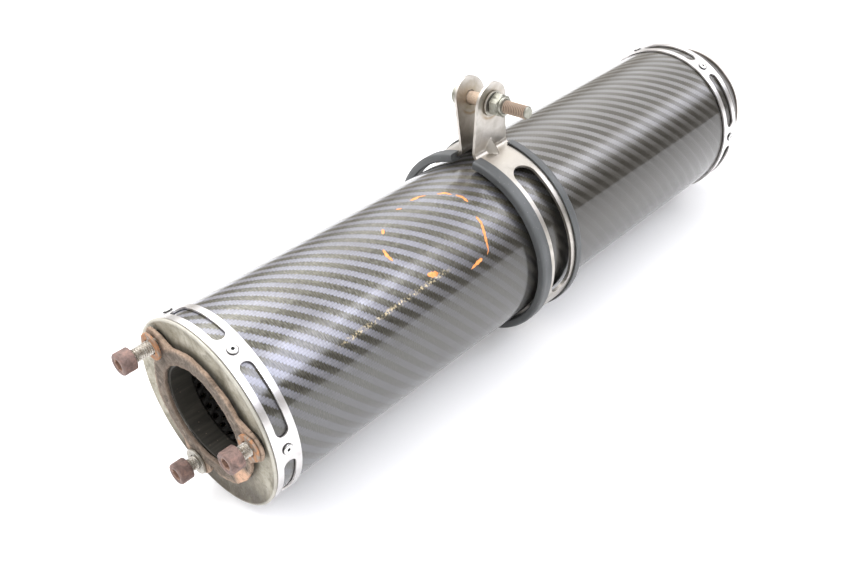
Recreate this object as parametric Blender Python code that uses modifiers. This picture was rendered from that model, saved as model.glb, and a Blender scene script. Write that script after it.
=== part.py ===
"""Round carbon-sleeved motorcycle exhaust muffler with its frame clamp.

The gas axis is X: the inlet gasket's mating face is the plane X = 0 and the outlet lies towards +X.
The frame clamp's ears point up, +Z. Angles round the can are measured from +Z towards -Y.
"""
import math

import bmesh
import bpy
from mathutils import Matrix

MM = 0.001
FIT_GAP = 0.3 * MM
ROUND_STEPS = 48
SMALL_STEPS = 16
SMOOTH_ANGLE = math.radians(35)
CUTTER_OVERRUN = 6.0 * MM
CLAMP_CUTTER_REACH = 30.0 * MM

# Can
SLEEVE_RADIUS = 55.0 * MM
SLEEVE_WALL = 1.6 * MM
CAN_START = 5.0 * MM
CAN_END = 453.0 * MM

# End bands and their pop rivets
BAND_WIDTH = 16.0 * MM
BAND_RADIUS = 56.7 * MM
BAND_WALL = 1.3 * MM
BAND_SLOT_WIDTH = 7.9 * MM
BAND_SLOT_SPAN = math.radians(43.8)
RIVETS_PER_BAND = 6
FRONT_RIVET_ANGLE = math.radians(29)
REAR_RIVET_ANGLE = math.radians(32.2)
RIVET_SHANK_RADIUS = 2.0 * MM
RIVET_HEAD_RADIUS = 3.2 * MM
RIVET_HEAD_HEIGHT = 1.0 * MM
RIVET_SHOULDER_RADIUS = 2.7 * MM
RIVET_SHOULDER_HEIGHT = 0.6 * MM
RIVET_CROWN_RADIUS = 1.7 * MM
RIVET_HOLE_RADIUS = 2.35 * MM
RIVET_BULB_RADIUS = 2.9 * MM
RIVET_BULB_LENGTH = 3.2 * MM
RIVET_BULB_EASE = 0.9 * MM
MANDREL_RADIUS = 0.9 * MM
MANDREL_DEPTH = 0.9 * MM

# End caps. Their pressed shapes are given as (millimetres along the can, radius in millimetres).
CAP_WALL = 1.5 * MM
CAP_LIP_RADIUS = 57.1 * MM
CAP_LIP_FRONT = 2.9 * MM
CAP_LIP_ROLL = 0.9 * MM
CAP_LIP_EASE = 0.5 * MM
CAP_DISH_FRONT = ((2.9, 55.4), (3.4, 53.5), (4.0, 50.5), (4.2, 46.0))
CAP_DISH_BACK = ((5.7, 46.0), (5.8, 48.5), (6.2, 51.0), (6.8, 51.6))
SKIRT_LENGTH = 18.0 * MM
SKIRT_RADIUS = SLEEVE_RADIUS - SLEEVE_WALL - FIT_GAP
OUTLET_LIP_RADIUS = 43.4 * MM
OUTLET_LIP_ROLL = 2.2 * MM
OUTLET_LIP_X = 476.3 * MM
CONE_OUTSIDE = ((469.3, 47.2), (461.3, 52.0), (455.7, 55.2), (454.1, 56.3), (453.3, 56.2))
CONE_INSIDE = ((454.4, 53.8), (460.7, 50.4), (468.6, 45.8), (472.7, 44.0), (474.2, 43.3))
CUP_RADIUS = 42.0 * MM
CUP_RIM_X = 473.9 * MM
CUP_DISC_X = 460.0 * MM
CUP_CORNER = 1.3 * MM

# Gas way
BORE_RADIUS = 29.2 * MM
PIPE_WALL = 2.0 * MM
CORE_WALL = 1.4 * MM
STUB_START = 2.5 * MM
STUB_END = 15.5 * MM
CORE_START = 9.2 * MM
CORE_END = 457.5 * MM
TAILPIPE_START = 446.0 * MM
TAILPIPE_END = 471.0 * MM
TAILPIPE_FLARE = 1.6 * MM
TAILPIPE_FLARE_LENGTH = 5.0 * MM
PIPE_EDGE = 0.6 * MM
PACKING_START = 24.5 * MM
PACKING_END = 429.0 * MM

# Inlet joint: gasket, threaded bushes, cap screws and washers
GASKET_THICKNESS = 2.2 * MM
GASKET_BORE_RADIUS = 31.0 * MM
GASKET_RING_RADIUS = 41.0 * MM
GASKET_EAR_REACH = 13.5 * MM
GASKET_EAR_HALF_ANGLE = math.radians(20)
GASKET_TEAR_ANGLE = math.radians(186)
GASKET_TEAR_SPREAD = math.radians(2.6)
GASKET_TEAR_DEPTH = 3.6 * MM
GASKET_POINTS = 90
SCREW_CIRCLE_RADIUS = 45.0 * MM
SCREW_COUNT = 3
FIRST_SCREW_ANGLE = math.radians(-36.5)
BUSH_RADIUS = 6.0 * MM
BUSH_END = 9.5 * MM
THREAD_RADIUS = 4.0 * MM
THREAD_HOLE_RADIUS = 4.35 * MM
SCREW_HEAD_RADIUS = 6.5 * MM
SCREW_HEAD_LENGTH = 8.0 * MM
SCREW_LENGTH = 25.0 * MM
SOCKET_RADIUS = 3.46 * MM
SOCKET_DEPTH = 4.2 * MM
SCREW_EDGE = 0.6 * MM
WASHER_EDGE = 0.25 * MM
SCREW_SEATS = (-14.5 * MM, -7.0 * MM, -7.8 * MM)
FLANGE_WASHER_RADIUS = 8.0 * MM
FLANGE_WASHER_THICKNESS = 1.6 * MM
FLANGE_WASHER_BACKS = (-1.8 * MM, -0.3 * MM, -0.3 * MM)

# Frame clamp
CLAMP_X = 232.4 * MM
STRAP_MID_RADIUS = 60.1 * MM
STRAP_THICKNESS = 1.8 * MM
STRAP_WIDTH = 30.0 * MM
STRAP_STEPS = 48
EAR_SPLAY = math.radians(6.2)
EAR_HALF_GAP = 3.9 * MM
EAR_BEND_RADIUS = 3.2 * MM
EAR_BEND_STEPS = 5
EAR_ARCH_STEPS = 16
EAR_FOOT = 64.6 * MM
EAR_TOP = 106.0 * MM
EAR_BASE_HALF_WIDTH = 14.2 * MM
EAR_HALF_WIDTH = 13.0 * MM
BOLT_Z = 92.8 * MM
BOLT_HOLE_RADIUS = 4.6 * MM
STRAP_SLOT_WIDTH = 17.0 * MM
STRAP_SLOT_START = math.radians(26)
STRAP_SLOT_END = math.radians(114)
GUSSET_HALF_WIDTH = 5.0 * MM
GUSSET_HEIGHT = 68.5 * MM
GUSSET_TOE_ANGLE = math.radians(11)
GUSSET_WING_OUT = 1.9 * MM
GUSSET_WING_UP = 1.2 * MM

# Rubber edge trims of the clamp
TRIM_GRIP = 2.7 * MM
FRONT_TRIM_WEB = 5.3 * MM
REAR_TRIM_WEB = 3.2 * MM
TRIM_OUTER_RADIUS = 62.6 * MM
TRIM_INNER_RADIUS = 57.7 * MM
TRIM_CORNER = 1.1 * MM
TRIM_GAP_ANGLE = math.radians(8.4)

# Clamp bolt, washer and lock nut
BOLT_SEAT_Y = 10.3 * MM
BOLT_LENGTH = 48.0 * MM
CLAMP_WASHER_RADIUS = 8.0 * MM
CLAMP_WASHER_THICKNESS = 1.5 * MM
NUT_RADIUS = 7.5 * MM
NUT_HEX_HEIGHT = 6.3 * MM
NUT_COLLAR_RADIUS = 5.9 * MM
NUT_HEIGHT = 8.0 * MM
NUT_SEAT_Y = -12.3 * MM

# Turns a piece whose own axis is Z so that the axis lies along X.
ALONG_CAN = Matrix.Rotation(math.pi / 2, 4, "Y")
# Turns a piece whose own axis is Z so that the axis points to -Y.
TO_NEAR_SIDE = Matrix.Rotation(math.pi / 2, 4, "X")


def clear_scene():
    for old in list(bpy.data.objects):
        bpy.data.objects.remove(old, do_unlink=True)


def new_collection(name):
    collection = bpy.data.collections.new(name)
    bpy.context.scene.collection.children.link(collection)
    return collection


def new_material(name, color, roughness, metallic):
    material = bpy.data.materials.new(name)
    material.use_nodes = True
    shader = material.node_tree.nodes["Principled BSDF"]
    shader.inputs["Base Color"].default_value = (*color, 1.0)
    shader.inputs["Roughness"].default_value = roughness
    shader.inputs["Metallic"].default_value = metallic
    return material


def add_part(name, data, material, place=Matrix.Identity(4)):
    part = bpy.data.objects.new(name, data)
    PARTS.objects.link(part)
    part.matrix_world = place
    if data.materials:
        data.materials[0] = material
    else:
        data.materials.append(material)
    return part


def add_cutter(name, data, place=Matrix.Identity(4)):
    cutter = bpy.data.objects.new(name, data)
    CUTTERS.objects.link(cutter)
    cutter.matrix_world = place
    cutter.hide_render = True
    cutter.display_type = "WIRE"
    return cutter


def cut(part, cutter, operation="DIFFERENCE"):
    modifier = part.modifiers.new(cutter.name, "BOOLEAN")
    modifier.operation = operation
    modifier.object = cutter
    modifier.solver = "EXACT"


def outline_mesh(name, outline, closed):
    """An outline of (height, radius) points, standing in the XZ plane at +X, ready to be turned."""
    points = [(radius, 0.0, height) for height, radius in outline]
    edges = [(i, i + 1) for i in range(len(points) - 1)]
    if closed:
        edges.append((len(points) - 1, 0))
    mesh = bpy.data.meshes.new(name)
    mesh.from_pydata(points, edges, [])
    return mesh


def turned_part(name, outline, material, place, closed=True, steps=ROUND_STEPS):
    """A turned piece. The outline runs down its outer side, from the high end to the low one."""
    part = add_part(name, outline_mesh(name, outline, closed), material, place)
    screw = part.modifiers.new("Turn", "SCREW")
    screw.steps = steps
    screw.render_steps = steps
    screw.use_merge_vertices = True
    screw.merge_threshold = 0.00001
    screw.use_smooth_shade = True
    return part


def tube_outline(start, end, inner, outer):
    return [(end, inner), (end, outer), (start, outer), (start, inner)]


def in_metres(points):
    return [(along * MM, radius * MM) for along, radius in points]


def arc_points(centre, radius, first, last, count):
    """Points (height, radius) on an arc, for angles counted from the height axis."""
    height, out = centre
    for i in range(count):
        angle = first + (last - first) * i / (count - 1)
        yield height + radius * math.cos(angle), out + radius * math.sin(angle)


def rod_mesh(name, radius, start, end, segments=SMALL_STEPS):
    """A closed rod along Z from start to end."""
    body = bmesh.new()
    middle = Matrix.Translation((0, 0, (start + end) / 2))
    bmesh.ops.create_cone(
        body, cap_ends=True, segments=segments, radius1=radius, radius2=radius,
        depth=end - start, matrix=middle,
    )
    mesh = bpy.data.meshes.new(name)
    body.to_mesh(mesh)
    body.free()
    return mesh


def round_the_can(angle):
    """Turns a piece that stands on top of the can, at +Z, round the can by the angle."""
    return Matrix.Rotation(angle, 4, "X")


def at_screw(index):
    angle = FIRST_SCREW_ANGLE - index * math.tau / SCREW_COUNT
    out = Matrix.Translation((0, 0, SCREW_CIRCLE_RADIUS))
    return round_the_can(angle) @ out @ ALONG_CAN


def rivet_angles(first):
    return [first + i * math.tau / RIVETS_PER_BAND for i in range(RIVETS_PER_BAND)]


def slot_cutter(name, centre_x, first, last, width, inner, outer):
    """A round-ended slot that follows the can from one angle to the other, as a loft of rectangles."""
    half = width / 2
    middle_radius = (inner + outer) / 2
    quarter = [math.radians(a) for a in (20, 45, 70, 90)]
    ends = [(half * (1 - math.cos(a)) / middle_radius, half * math.sin(a)) for a in quarter]
    span = last - first - 2 * ends[-1][0]
    straight_steps = max(2, round(span / math.radians(8)))
    stations = [(first + turn, wide) for turn, wide in ends]
    for i in range(1, straight_steps):
        stations.append((first + ends[-1][0] + span * i / straight_steps, half))
    stations += [(last - turn, wide) for turn, wide in reversed(ends)]
    body = bmesh.new()
    rings = []
    for angle, wide in stations:
        corners = ((-wide, inner), (wide, inner), (wide, outer), (-wide, outer))
        ring = []
        for along, radius in corners:
            place = (centre_x + along, -radius * math.sin(angle), radius * math.cos(angle))
            ring.append(body.verts.new(place))
        rings.append(ring)
    for ring, after in zip(rings, rings[1:]):
        for i in range(4):
            j = (i + 1) % 4
            body.faces.new((ring[i], ring[j], after[j], after[i]))
    body.faces.new(rings[0])
    body.faces.new(rings[-1])
    bmesh.ops.recalc_face_normals(body, faces=body.faces)
    mesh = bpy.data.meshes.new(name)
    body.to_mesh(mesh)
    body.free()
    return add_cutter(name, mesh)


def rivet_hole_cutter(name, x, first_angle):
    """Six short radial rods, one body each, that pierce band, sleeve and cap skirt."""
    body = bmesh.new()
    low = SKIRT_RADIUS - CAP_WALL - CUTTER_OVERRUN
    high = BAND_RADIUS + CUTTER_OVERRUN
    middle = Matrix.Translation((x, 0, (low + high) / 2))
    for angle in rivet_angles(first_angle):
        bmesh.ops.create_cone(
            body, cap_ends=True, segments=12, radius1=RIVET_HOLE_RADIUS, radius2=RIVET_HOLE_RADIUS,
            depth=high - low, matrix=round_the_can(angle) @ middle,
        )
    mesh = bpy.data.meshes.new(name)
    body.to_mesh(mesh)
    body.free()
    return add_cutter(name, mesh)


def make_sleeve(front_holes, rear_holes):
    outline = tube_outline(CAN_START, CAN_END, SLEEVE_RADIUS - SLEEVE_WALL, SLEEVE_RADIUS)
    sleeve = turned_part("carbon_sleeve", outline, CARBON, ALONG_CAN)
    cut(sleeve, front_holes)
    cut(sleeve, rear_holes)


def make_band(name, start, first_angle, holes):
    """A stainless end strap with six long slots between its six rivets."""
    outline = tube_outline(start, start + BAND_WIDTH, BAND_RADIUS - BAND_WALL, BAND_RADIUS)
    band = turned_part(name, outline, STAINLESS, ALONG_CAN)
    cut(band, holes)
    for i, rivet_angle in enumerate(rivet_angles(first_angle)):
        middle = rivet_angle + math.pi / RIVETS_PER_BAND
        slot = slot_cutter(
            f"{name}_slot_{i + 1}", start + BAND_WIDTH / 2, middle - BAND_SLOT_SPAN / 2,
            middle + BAND_SLOT_SPAN / 2, BAND_SLOT_WIDTH, BAND_RADIUS - 2 * BAND_WALL,
            BAND_RADIUS + BAND_WALL,
        )
        cut(band, slot)


def make_rivets(end_name, x, first_angle):
    """Pop rivets: a low domed head with the broken mandrel's hole, and the blind end's bulb inside."""
    seat = BAND_RADIUS + FIT_GAP
    bulb_top = SKIRT_RADIUS - CAP_WALL - FIT_GAP
    crown = seat + RIVET_HEAD_HEIGHT
    shank_end = bulb_top - RIVET_BULB_LENGTH
    outline = [
        (crown - MANDREL_DEPTH, 0.0),
        (crown - MANDREL_DEPTH, MANDREL_RADIUS),
        (crown, MANDREL_RADIUS),
        (crown, RIVET_CROWN_RADIUS),
        (seat + RIVET_SHOULDER_HEIGHT, RIVET_SHOULDER_RADIUS),
        (seat, RIVET_HEAD_RADIUS),
        (seat, RIVET_SHANK_RADIUS),
        (bulb_top, RIVET_SHANK_RADIUS),
        (bulb_top - RIVET_BULB_EASE, RIVET_BULB_RADIUS),
        (shank_end + RIVET_BULB_EASE, RIVET_BULB_RADIUS),
        (shank_end, RIVET_SHANK_RADIUS),
        (shank_end, 0.0),
    ]
    for i, angle in enumerate(rivet_angles(first_angle)):
        place = Matrix.Translation((x, 0, 0)) @ round_the_can(angle)
        turned_part(f"{end_name}_rivet_{i + 1}", outline, RIVET, place, closed=False, steps=12)


def make_inlet_cap(holes):
    """A pressed end cap: a rolled lip in front of the band, a dished face and a skirt in the sleeve."""
    front = in_metres(CAP_DISH_FRONT)
    back = in_metres(CAP_DISH_BACK)
    hole = BORE_RADIUS + PIPE_WALL + FIT_GAP
    lip_back = CAN_START - FIT_GAP
    lip_centre = (CAP_LIP_FRONT + CAP_LIP_ROLL, CAP_LIP_RADIUS - CAP_LIP_ROLL)
    outline = [
        (CAN_START + SKIRT_LENGTH, SKIRT_RADIUS - CAP_WALL),
        (CAN_START + SKIRT_LENGTH, SKIRT_RADIUS),
        (lip_back, SKIRT_RADIUS),
        (lip_back, CAP_LIP_RADIUS - CAP_LIP_EASE / 2),
        (lip_back - CAP_LIP_EASE, CAP_LIP_RADIUS),
    ]
    outline += arc_points(lip_centre, CAP_LIP_ROLL, math.pi / 2, math.pi, 3)
    outline += front
    outline += [(front[-1][0], hole), (back[0][0], hole)]
    outline += back
    cap = turned_part("inlet_cap", outline, CAP_STEEL, ALONG_CAN)
    cut(cap, holes)
    for i in range(SCREW_COUNT):
        name = f"bush_hole_{i + 1}"
        mesh = rod_mesh(name, BUSH_RADIUS + FIT_GAP, 0.0, SKIRT_LENGTH, segments=20)
        cut(cap, add_cutter(name, mesh, at_screw(i)))


def make_gas_way():
    bore = BORE_RADIUS
    pipe_outer = bore + PIPE_WALL
    core_inner = pipe_outer + FIT_GAP
    core_outer = core_inner + CORE_WALL
    stub = [
        (STUB_END, bore),
        (STUB_END, pipe_outer),
        (STUB_START, pipe_outer),
        (STUB_START, bore + PIPE_EDGE),
        (STUB_START + PIPE_EDGE, bore),
    ]
    turned_part("inlet_stub", stub, SOOTY_STEEL, ALONG_CAN)
    core = tube_outline(CORE_START, CORE_END, core_inner, core_outer)
    turned_part("perforated_core", core, SOOTY_STEEL, ALONG_CAN)
    packing_outer = SLEEVE_RADIUS - SLEEVE_WALL - 4 * FIT_GAP
    packing = tube_outline(PACKING_START, PACKING_END, core_outer + FIT_GAP, packing_outer)
    turned_part("glass_wool_packing", packing, WOOL, ALONG_CAN)
    flare_start = TAILPIPE_END - TAILPIPE_FLARE_LENGTH
    tail = [
        (TAILPIPE_END, bore + TAILPIPE_FLARE),
        (TAILPIPE_END, pipe_outer + TAILPIPE_FLARE),
        (flare_start, pipe_outer),
        (TAILPIPE_START, pipe_outer),
        (TAILPIPE_START, bore),
        (flare_start, bore),
    ]
    turned_part("tailpipe", tail, SOOTY_STEEL, ALONG_CAN)


def make_outlet_cap(holes):
    """A spun outlet cone with its skirt in the sleeve and a rolled lip."""
    skirt_inner = SKIRT_RADIUS - CAP_WALL
    inside = in_metres(CONE_INSIDE)
    shoulder = CAN_END + FIT_GAP
    lip_centre = (OUTLET_LIP_X, OUTLET_LIP_RADIUS)
    outline = list(arc_points(lip_centre, OUTLET_LIP_ROLL, math.radians(-90), math.radians(130), 6))
    outline += in_metres(CONE_OUTSIDE)
    outline += [
        (shoulder, SKIRT_RADIUS),
        (CAN_END - SKIRT_LENGTH, SKIRT_RADIUS),
        (CAN_END - SKIRT_LENGTH, skirt_inner),
        (shoulder, skirt_inner),
    ]
    outline += inside
    outline.append((inside[-1][0], OUTLET_LIP_RADIUS - OUTLET_LIP_ROLL))
    cap = turned_part("outlet_cap", outline, CAP_STEEL, ALONG_CAN)
    cut(cap, holes)


def make_outlet_cup():
    """The recessed disc inside the outlet cone, with its wall, pressed in one piece."""
    bore = CUP_RADIUS - CAP_WALL
    disc_back = CUP_DISC_X - CAP_WALL
    disc_hole = BORE_RADIUS + PIPE_WALL + FIT_GAP
    cup = [
        (CUP_RIM_X, bore),
        (CUP_RIM_X, CUP_RADIUS),
        (CUP_DISC_X + CUP_CORNER, CUP_RADIUS),
        (disc_back, CUP_RADIUS - CUP_CORNER - CAP_WALL),
        (disc_back, disc_hole),
        (CUP_DISC_X, disc_hole),
        (CUP_DISC_X, bore - 1.5 * CUP_CORNER),
        (CUP_DISC_X + 1.5 * CUP_CORNER, bore),
    ]
    turned_part("outlet_cup", cup, CAP_STEEL, ALONG_CAN)


def outline_curve(name, loops, depth):
    """A flat plate in the XY plane from closed loops of (x, y) points, centred on its thickness."""
    curve = bpy.data.curves.new(name, "CURVE")
    curve.dimensions = "2D"
    curve.fill_mode = "BOTH"
    curve.extrude = depth / 2
    for loop in loops:
        spline = curve.splines.new("POLY")
        spline.points.add(len(loop) - 1)
        for point, (x, y) in zip(spline.points, loop):
            point.co = (x, y, 0.0, 1.0)
        spline.use_cyclic_u = True
    return curve


def circle_points(x, y, radius, count):
    turns = [i * math.tau / count for i in range(count)]
    return [(x + radius * math.cos(a), y + radius * math.sin(a)) for a in turns]


def gasket_edge(angle):
    """Outer radius of the gasket: a ring with three ears, and a torn bite beside one of them."""
    radius = GASKET_RING_RADIUS
    for i in range(SCREW_COUNT):
        ear = FIRST_SCREW_ANGLE + i * math.tau / SCREW_COUNT
        off = math.remainder(angle - ear, math.tau) / GASKET_EAR_HALF_ANGLE
        if abs(off) < 1:
            radius += GASKET_EAR_REACH * (1 - off * off) ** 2
    torn = math.remainder(angle - GASKET_TEAR_ANGLE, math.tau) / GASKET_TEAR_SPREAD
    return radius - GASKET_TEAR_DEPTH * math.exp(-torn * torn)


def make_gasket():
    """In the plate's own plane, X points to +Z of the can and Y to -Y, so its angles are the can's."""
    turns = [i * math.tau / GASKET_POINTS for i in range(GASKET_POINTS)]
    edge = [(gasket_edge(a) * math.cos(a), gasket_edge(a) * math.sin(a)) for a in turns]
    loops = [edge, circle_points(0.0, 0.0, GASKET_BORE_RADIUS, ROUND_STEPS)]
    for i in range(SCREW_COUNT):
        angle = FIRST_SCREW_ANGLE + i * math.tau / SCREW_COUNT
        x = SCREW_CIRCLE_RADIUS * math.cos(angle)
        y = SCREW_CIRCLE_RADIUS * math.sin(angle)
        loops.append(circle_points(x, y, THREAD_HOLE_RADIUS, SMALL_STEPS))
    curve = outline_curve("inlet_gasket", loops, GASKET_THICKNESS)
    upright = Matrix(((0, 0, 1, GASKET_THICKNESS / 2), (0, -1, 0, 0), (1, 0, 0, 0), (0, 0, 0, 1)))
    add_part("inlet_gasket", curve, RUSTY_GASKET, upright)


def cap_screw_outline(length):
    """A socket-head cap screw standing on its tip side: the seat is at height 0, the head above."""
    edge = SCREW_EDGE
    return [
        (SCREW_HEAD_LENGTH, 0.0),
        (SCREW_HEAD_LENGTH, SCREW_HEAD_RADIUS - edge),
        (SCREW_HEAD_LENGTH - edge, SCREW_HEAD_RADIUS),
        (0.0, SCREW_HEAD_RADIUS),
        (0.0, THREAD_RADIUS),
        (edge - length, THREAD_RADIUS),
        (-length, THREAD_RADIUS - edge),
        (-length, 0.0),
    ]


def make_cap_screw(name, length, place, material):
    screw = turned_part(name, cap_screw_outline(length), material, place, closed=False, steps=20)
    bottom = SCREW_HEAD_LENGTH - SOCKET_DEPTH
    mesh = rod_mesh(f"{name}_socket", SOCKET_RADIUS, bottom, SCREW_HEAD_LENGTH + MM, segments=6)
    cut(screw, add_cutter(f"{name}_socket", mesh, place))


def make_washer(name, radius, thickness, hole, place, material):
    """A washer whose back is at height 0."""
    edge = WASHER_EDGE
    outline = [
        (thickness, hole),
        (thickness, radius - edge),
        (thickness - edge, radius),
        (edge, radius),
        (0.0, radius - edge),
        (0.0, hole),
    ]
    turned_part(name, outline, material, place, steps=20)


def make_inlet_fasteners():
    """Threaded bushes through the cap, and part-way unscrewed cap screws with their washers."""
    outward = Matrix.Rotation(math.pi, 4, "Y")
    for i in range(SCREW_COUNT):
        place = at_screw(i)
        bush = tube_outline(GASKET_THICKNESS + FIT_GAP, BUSH_END, THREAD_HOLE_RADIUS, BUSH_RADIUS)
        turned_part(f"flange_bush_{i + 1}", bush, SOOTY_STEEL, place, steps=20)
        seat = place @ Matrix.Translation((0, 0, SCREW_SEATS[i])) @ outward
        make_cap_screw(f"flange_screw_{i + 1}", SCREW_LENGTH, seat, RUSTY_STEEL)
        back = place @ Matrix.Translation((0, 0, FLANGE_WASHER_BACKS[i])) @ outward
        make_washer(
            f"flange_washer_{i + 1}", FLANGE_WASHER_RADIUS, FLANGE_WASHER_THICKNESS,
            THREAD_HOLE_RADIUS, back, WORN_ZINC,
        )


def strap_path():
    """Half of the strap's middle line as (outward, up) points: ear, bend, then round to the bottom.

    Outward is the distance from the clamp's middle plane. The bend is an arc tangent to both.
    """
    half_thickness = STRAP_THICKNESS / 2
    bend = EAR_BEND_RADIUS
    lean = EAR_SPLAY
    normal = (math.cos(lean), -math.sin(lean))
    foot = (EAR_HALF_GAP + half_thickness, STRAP_MID_RADIUS)
    # The bend's centre stands off the ear line and the strap circle by the bend's radius.
    orbit = STRAP_MID_RADIUS + bend
    offset = foot[0] * normal[0] + foot[1] * normal[1] + bend
    tilt = math.atan2(normal[1], normal[0])
    swing = math.acos(offset / orbit)
    centre = (orbit * math.cos(tilt + swing), orbit * math.sin(tilt + swing))
    ear_touch = (centre[0] - bend * normal[0], centre[1] - bend * normal[1])
    slope = (math.sin(lean), math.cos(lean))
    ear_length = (EAR_TOP - ear_touch[1]) / slope[1]
    path = [(ear_touch[0] + slope[0] * ear_length, EAR_TOP), ear_touch]
    first = math.atan2(-normal[1], -normal[0])
    last = math.atan2(-centre[1], -centre[0])
    if first < 0:
        first += math.tau
    if last < 0:
        last += math.tau
    for i in range(1, EAR_BEND_STEPS):
        angle = first + (last - first) * i / EAR_BEND_STEPS
        path.append((centre[0] + bend * math.cos(angle), centre[1] + bend * math.sin(angle)))
    strap_first = math.atan2(centre[0], centre[1])
    half_steps = STRAP_STEPS // 2
    for i in range(half_steps + 1):
        angle = strap_first + (math.pi - strap_first) * i / half_steps
        path.append((STRAP_MID_RADIUS * math.sin(angle), STRAP_MID_RADIUS * math.cos(angle)))
    return path


def gusset_mesh(side):
    """A pressed corner stiffener on the bend: a solid wedge from the ear down to the strap's toe."""
    toe = GUSSET_TOE_ANGLE
    low = STRAP_MID_RADIUS - FIT_GAP
    rise = GUSSET_HEIGHT - STRAP_MID_RADIUS
    ear_out = EAR_HALF_GAP + STRAP_THICKNESS / 2 + rise * math.tan(EAR_SPLAY)
    half = GUSSET_HALF_WIDTH
    root = EAR_HALF_GAP + STRAP_THICKNESS / 2
    wing_out = side * (root + GUSSET_WING_OUT)
    wing_up = low + GUSSET_WING_UP
    corners = [
        (CLAMP_X, side * ear_out, GUSSET_HEIGHT),
        (CLAMP_X, side * low * math.sin(toe), low * math.cos(toe)),
        (CLAMP_X - half, wing_out, wing_up),
        (CLAMP_X + half, wing_out, wing_up),
        (CLAMP_X, side * root, low),
    ]
    body = bmesh.new()
    for corner in corners:
        body.verts.new(corner)
    bmesh.ops.convex_hull(body, input=body.verts)
    bmesh.ops.recalc_face_normals(body, faces=body.faces)
    mesh = bpy.data.meshes.new("gusset")
    body.to_mesh(mesh)
    body.free()
    return mesh


def ear_outline():
    """What is trimmed off the ears, as (along, up) points: all that lies beside and above their arch."""
    arch_top = EAR_TOP - EAR_HALF_WIDTH
    arch = []
    for i in range(EAR_ARCH_STEPS + 1):
        angle = math.pi - math.pi * i / EAR_ARCH_STEPS
        along = CLAMP_X + EAR_HALF_WIDTH * math.cos(angle)
        arch.append((along, arch_top + EAR_HALF_WIDTH * math.sin(angle)))
    over = EAR_TOP + CUTTER_OVERRUN
    wide = STRAP_WIDTH
    left = [(CLAMP_X - wide, over), (CLAMP_X - wide, EAR_FOOT), (CLAMP_X - EAR_BASE_HALF_WIDTH, EAR_FOOT)]
    right = [(CLAMP_X + EAR_BASE_HALF_WIDTH, EAR_FOOT), (CLAMP_X + wide, EAR_FOOT), (CLAMP_X + wide, over)]
    return left + arch + right


def mesh_from_curve(name, curve, place):
    """A closed mesh from a filled curve, with its loose caps joined to its sides."""
    guide = bpy.data.objects.new(name, curve)
    bpy.context.scene.collection.objects.link(guide)
    graph = bpy.context.evaluated_depsgraph_get()
    mesh = bpy.data.meshes.new_from_object(guide.evaluated_get(graph))
    bpy.data.objects.remove(guide)
    body = bmesh.new()
    body.from_mesh(mesh)
    bmesh.ops.remove_doubles(body, verts=body.verts, dist=0.000001)
    bmesh.ops.recalc_face_normals(body, faces=body.faces)
    body.to_mesh(mesh)
    body.free()
    return add_cutter(name, mesh, place)


def make_clamp_strap():
    """A single sheet strap round the can with two upright ears, long slots and corner gussets."""
    half = strap_path()
    path = [(-out, up) for out, up in half]
    path += [(out, up) for out, up in reversed(half[:-1])]
    edges = (CLAMP_X - STRAP_WIDTH / 2, CLAMP_X + STRAP_WIDTH / 2)
    points = [(x, out, up) for out, up in path for x in edges]
    faces = [(2 * i, 2 * i + 1, 2 * i + 3, 2 * i + 2) for i in range(len(path) - 1)]
    mesh = bpy.data.meshes.new("clamp_strap")
    mesh.from_pydata(points, [], faces)
    strap = add_part("clamp_strap", mesh, STAINLESS)
    sheet = strap.modifiers.new("Sheet", "SOLIDIFY")
    sheet.thickness = STRAP_THICKNESS
    sheet.offset = 0.0
    sheet.use_even_offset = True
    for side in (-1, 1):
        name = "near_gusset" if side < 0 else "far_gusset"
        cut(strap, add_cutter(name, gusset_mesh(side)), "UNION")
    trimmings = outline_curve("ear_trimmings", [ear_outline()], 2 * CLAMP_CUTTER_REACH)
    upright = Matrix(((1, 0, 0, 0), (0, 0, -1, 0), (0, 1, 0, 0), (0, 0, 0, 1)))
    cut(strap, mesh_from_curve("ear_trimmings", trimmings, upright))
    reach = CLAMP_CUTTER_REACH
    bolt_hole = rod_mesh("bolt_hole", BOLT_HOLE_RADIUS, -reach, reach, segments=20)
    cut(strap, add_cutter("bolt_hole", bolt_hole, clamp_bolt_place(0.0)))
    inner = STRAP_MID_RADIUS - 2 * STRAP_THICKNESS
    outer = STRAP_MID_RADIUS + 2 * STRAP_THICKNESS
    slots = ((STRAP_SLOT_START, STRAP_SLOT_END), (-STRAP_SLOT_END, -STRAP_SLOT_START))
    for i, (first, last) in enumerate(slots):
        name = f"strap_slot_{i + 1}"
        cut(strap, slot_cutter(name, CLAMP_X, first, last, STRAP_SLOT_WIDTH, inner, outer))


def clamp_bolt_place(y):
    """Stands a piece on the clamp bolt's axis at the height y, pointing towards -Y."""
    return Matrix.Translation((CLAMP_X, y, BOLT_Z)) @ TO_NEAR_SIDE


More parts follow.
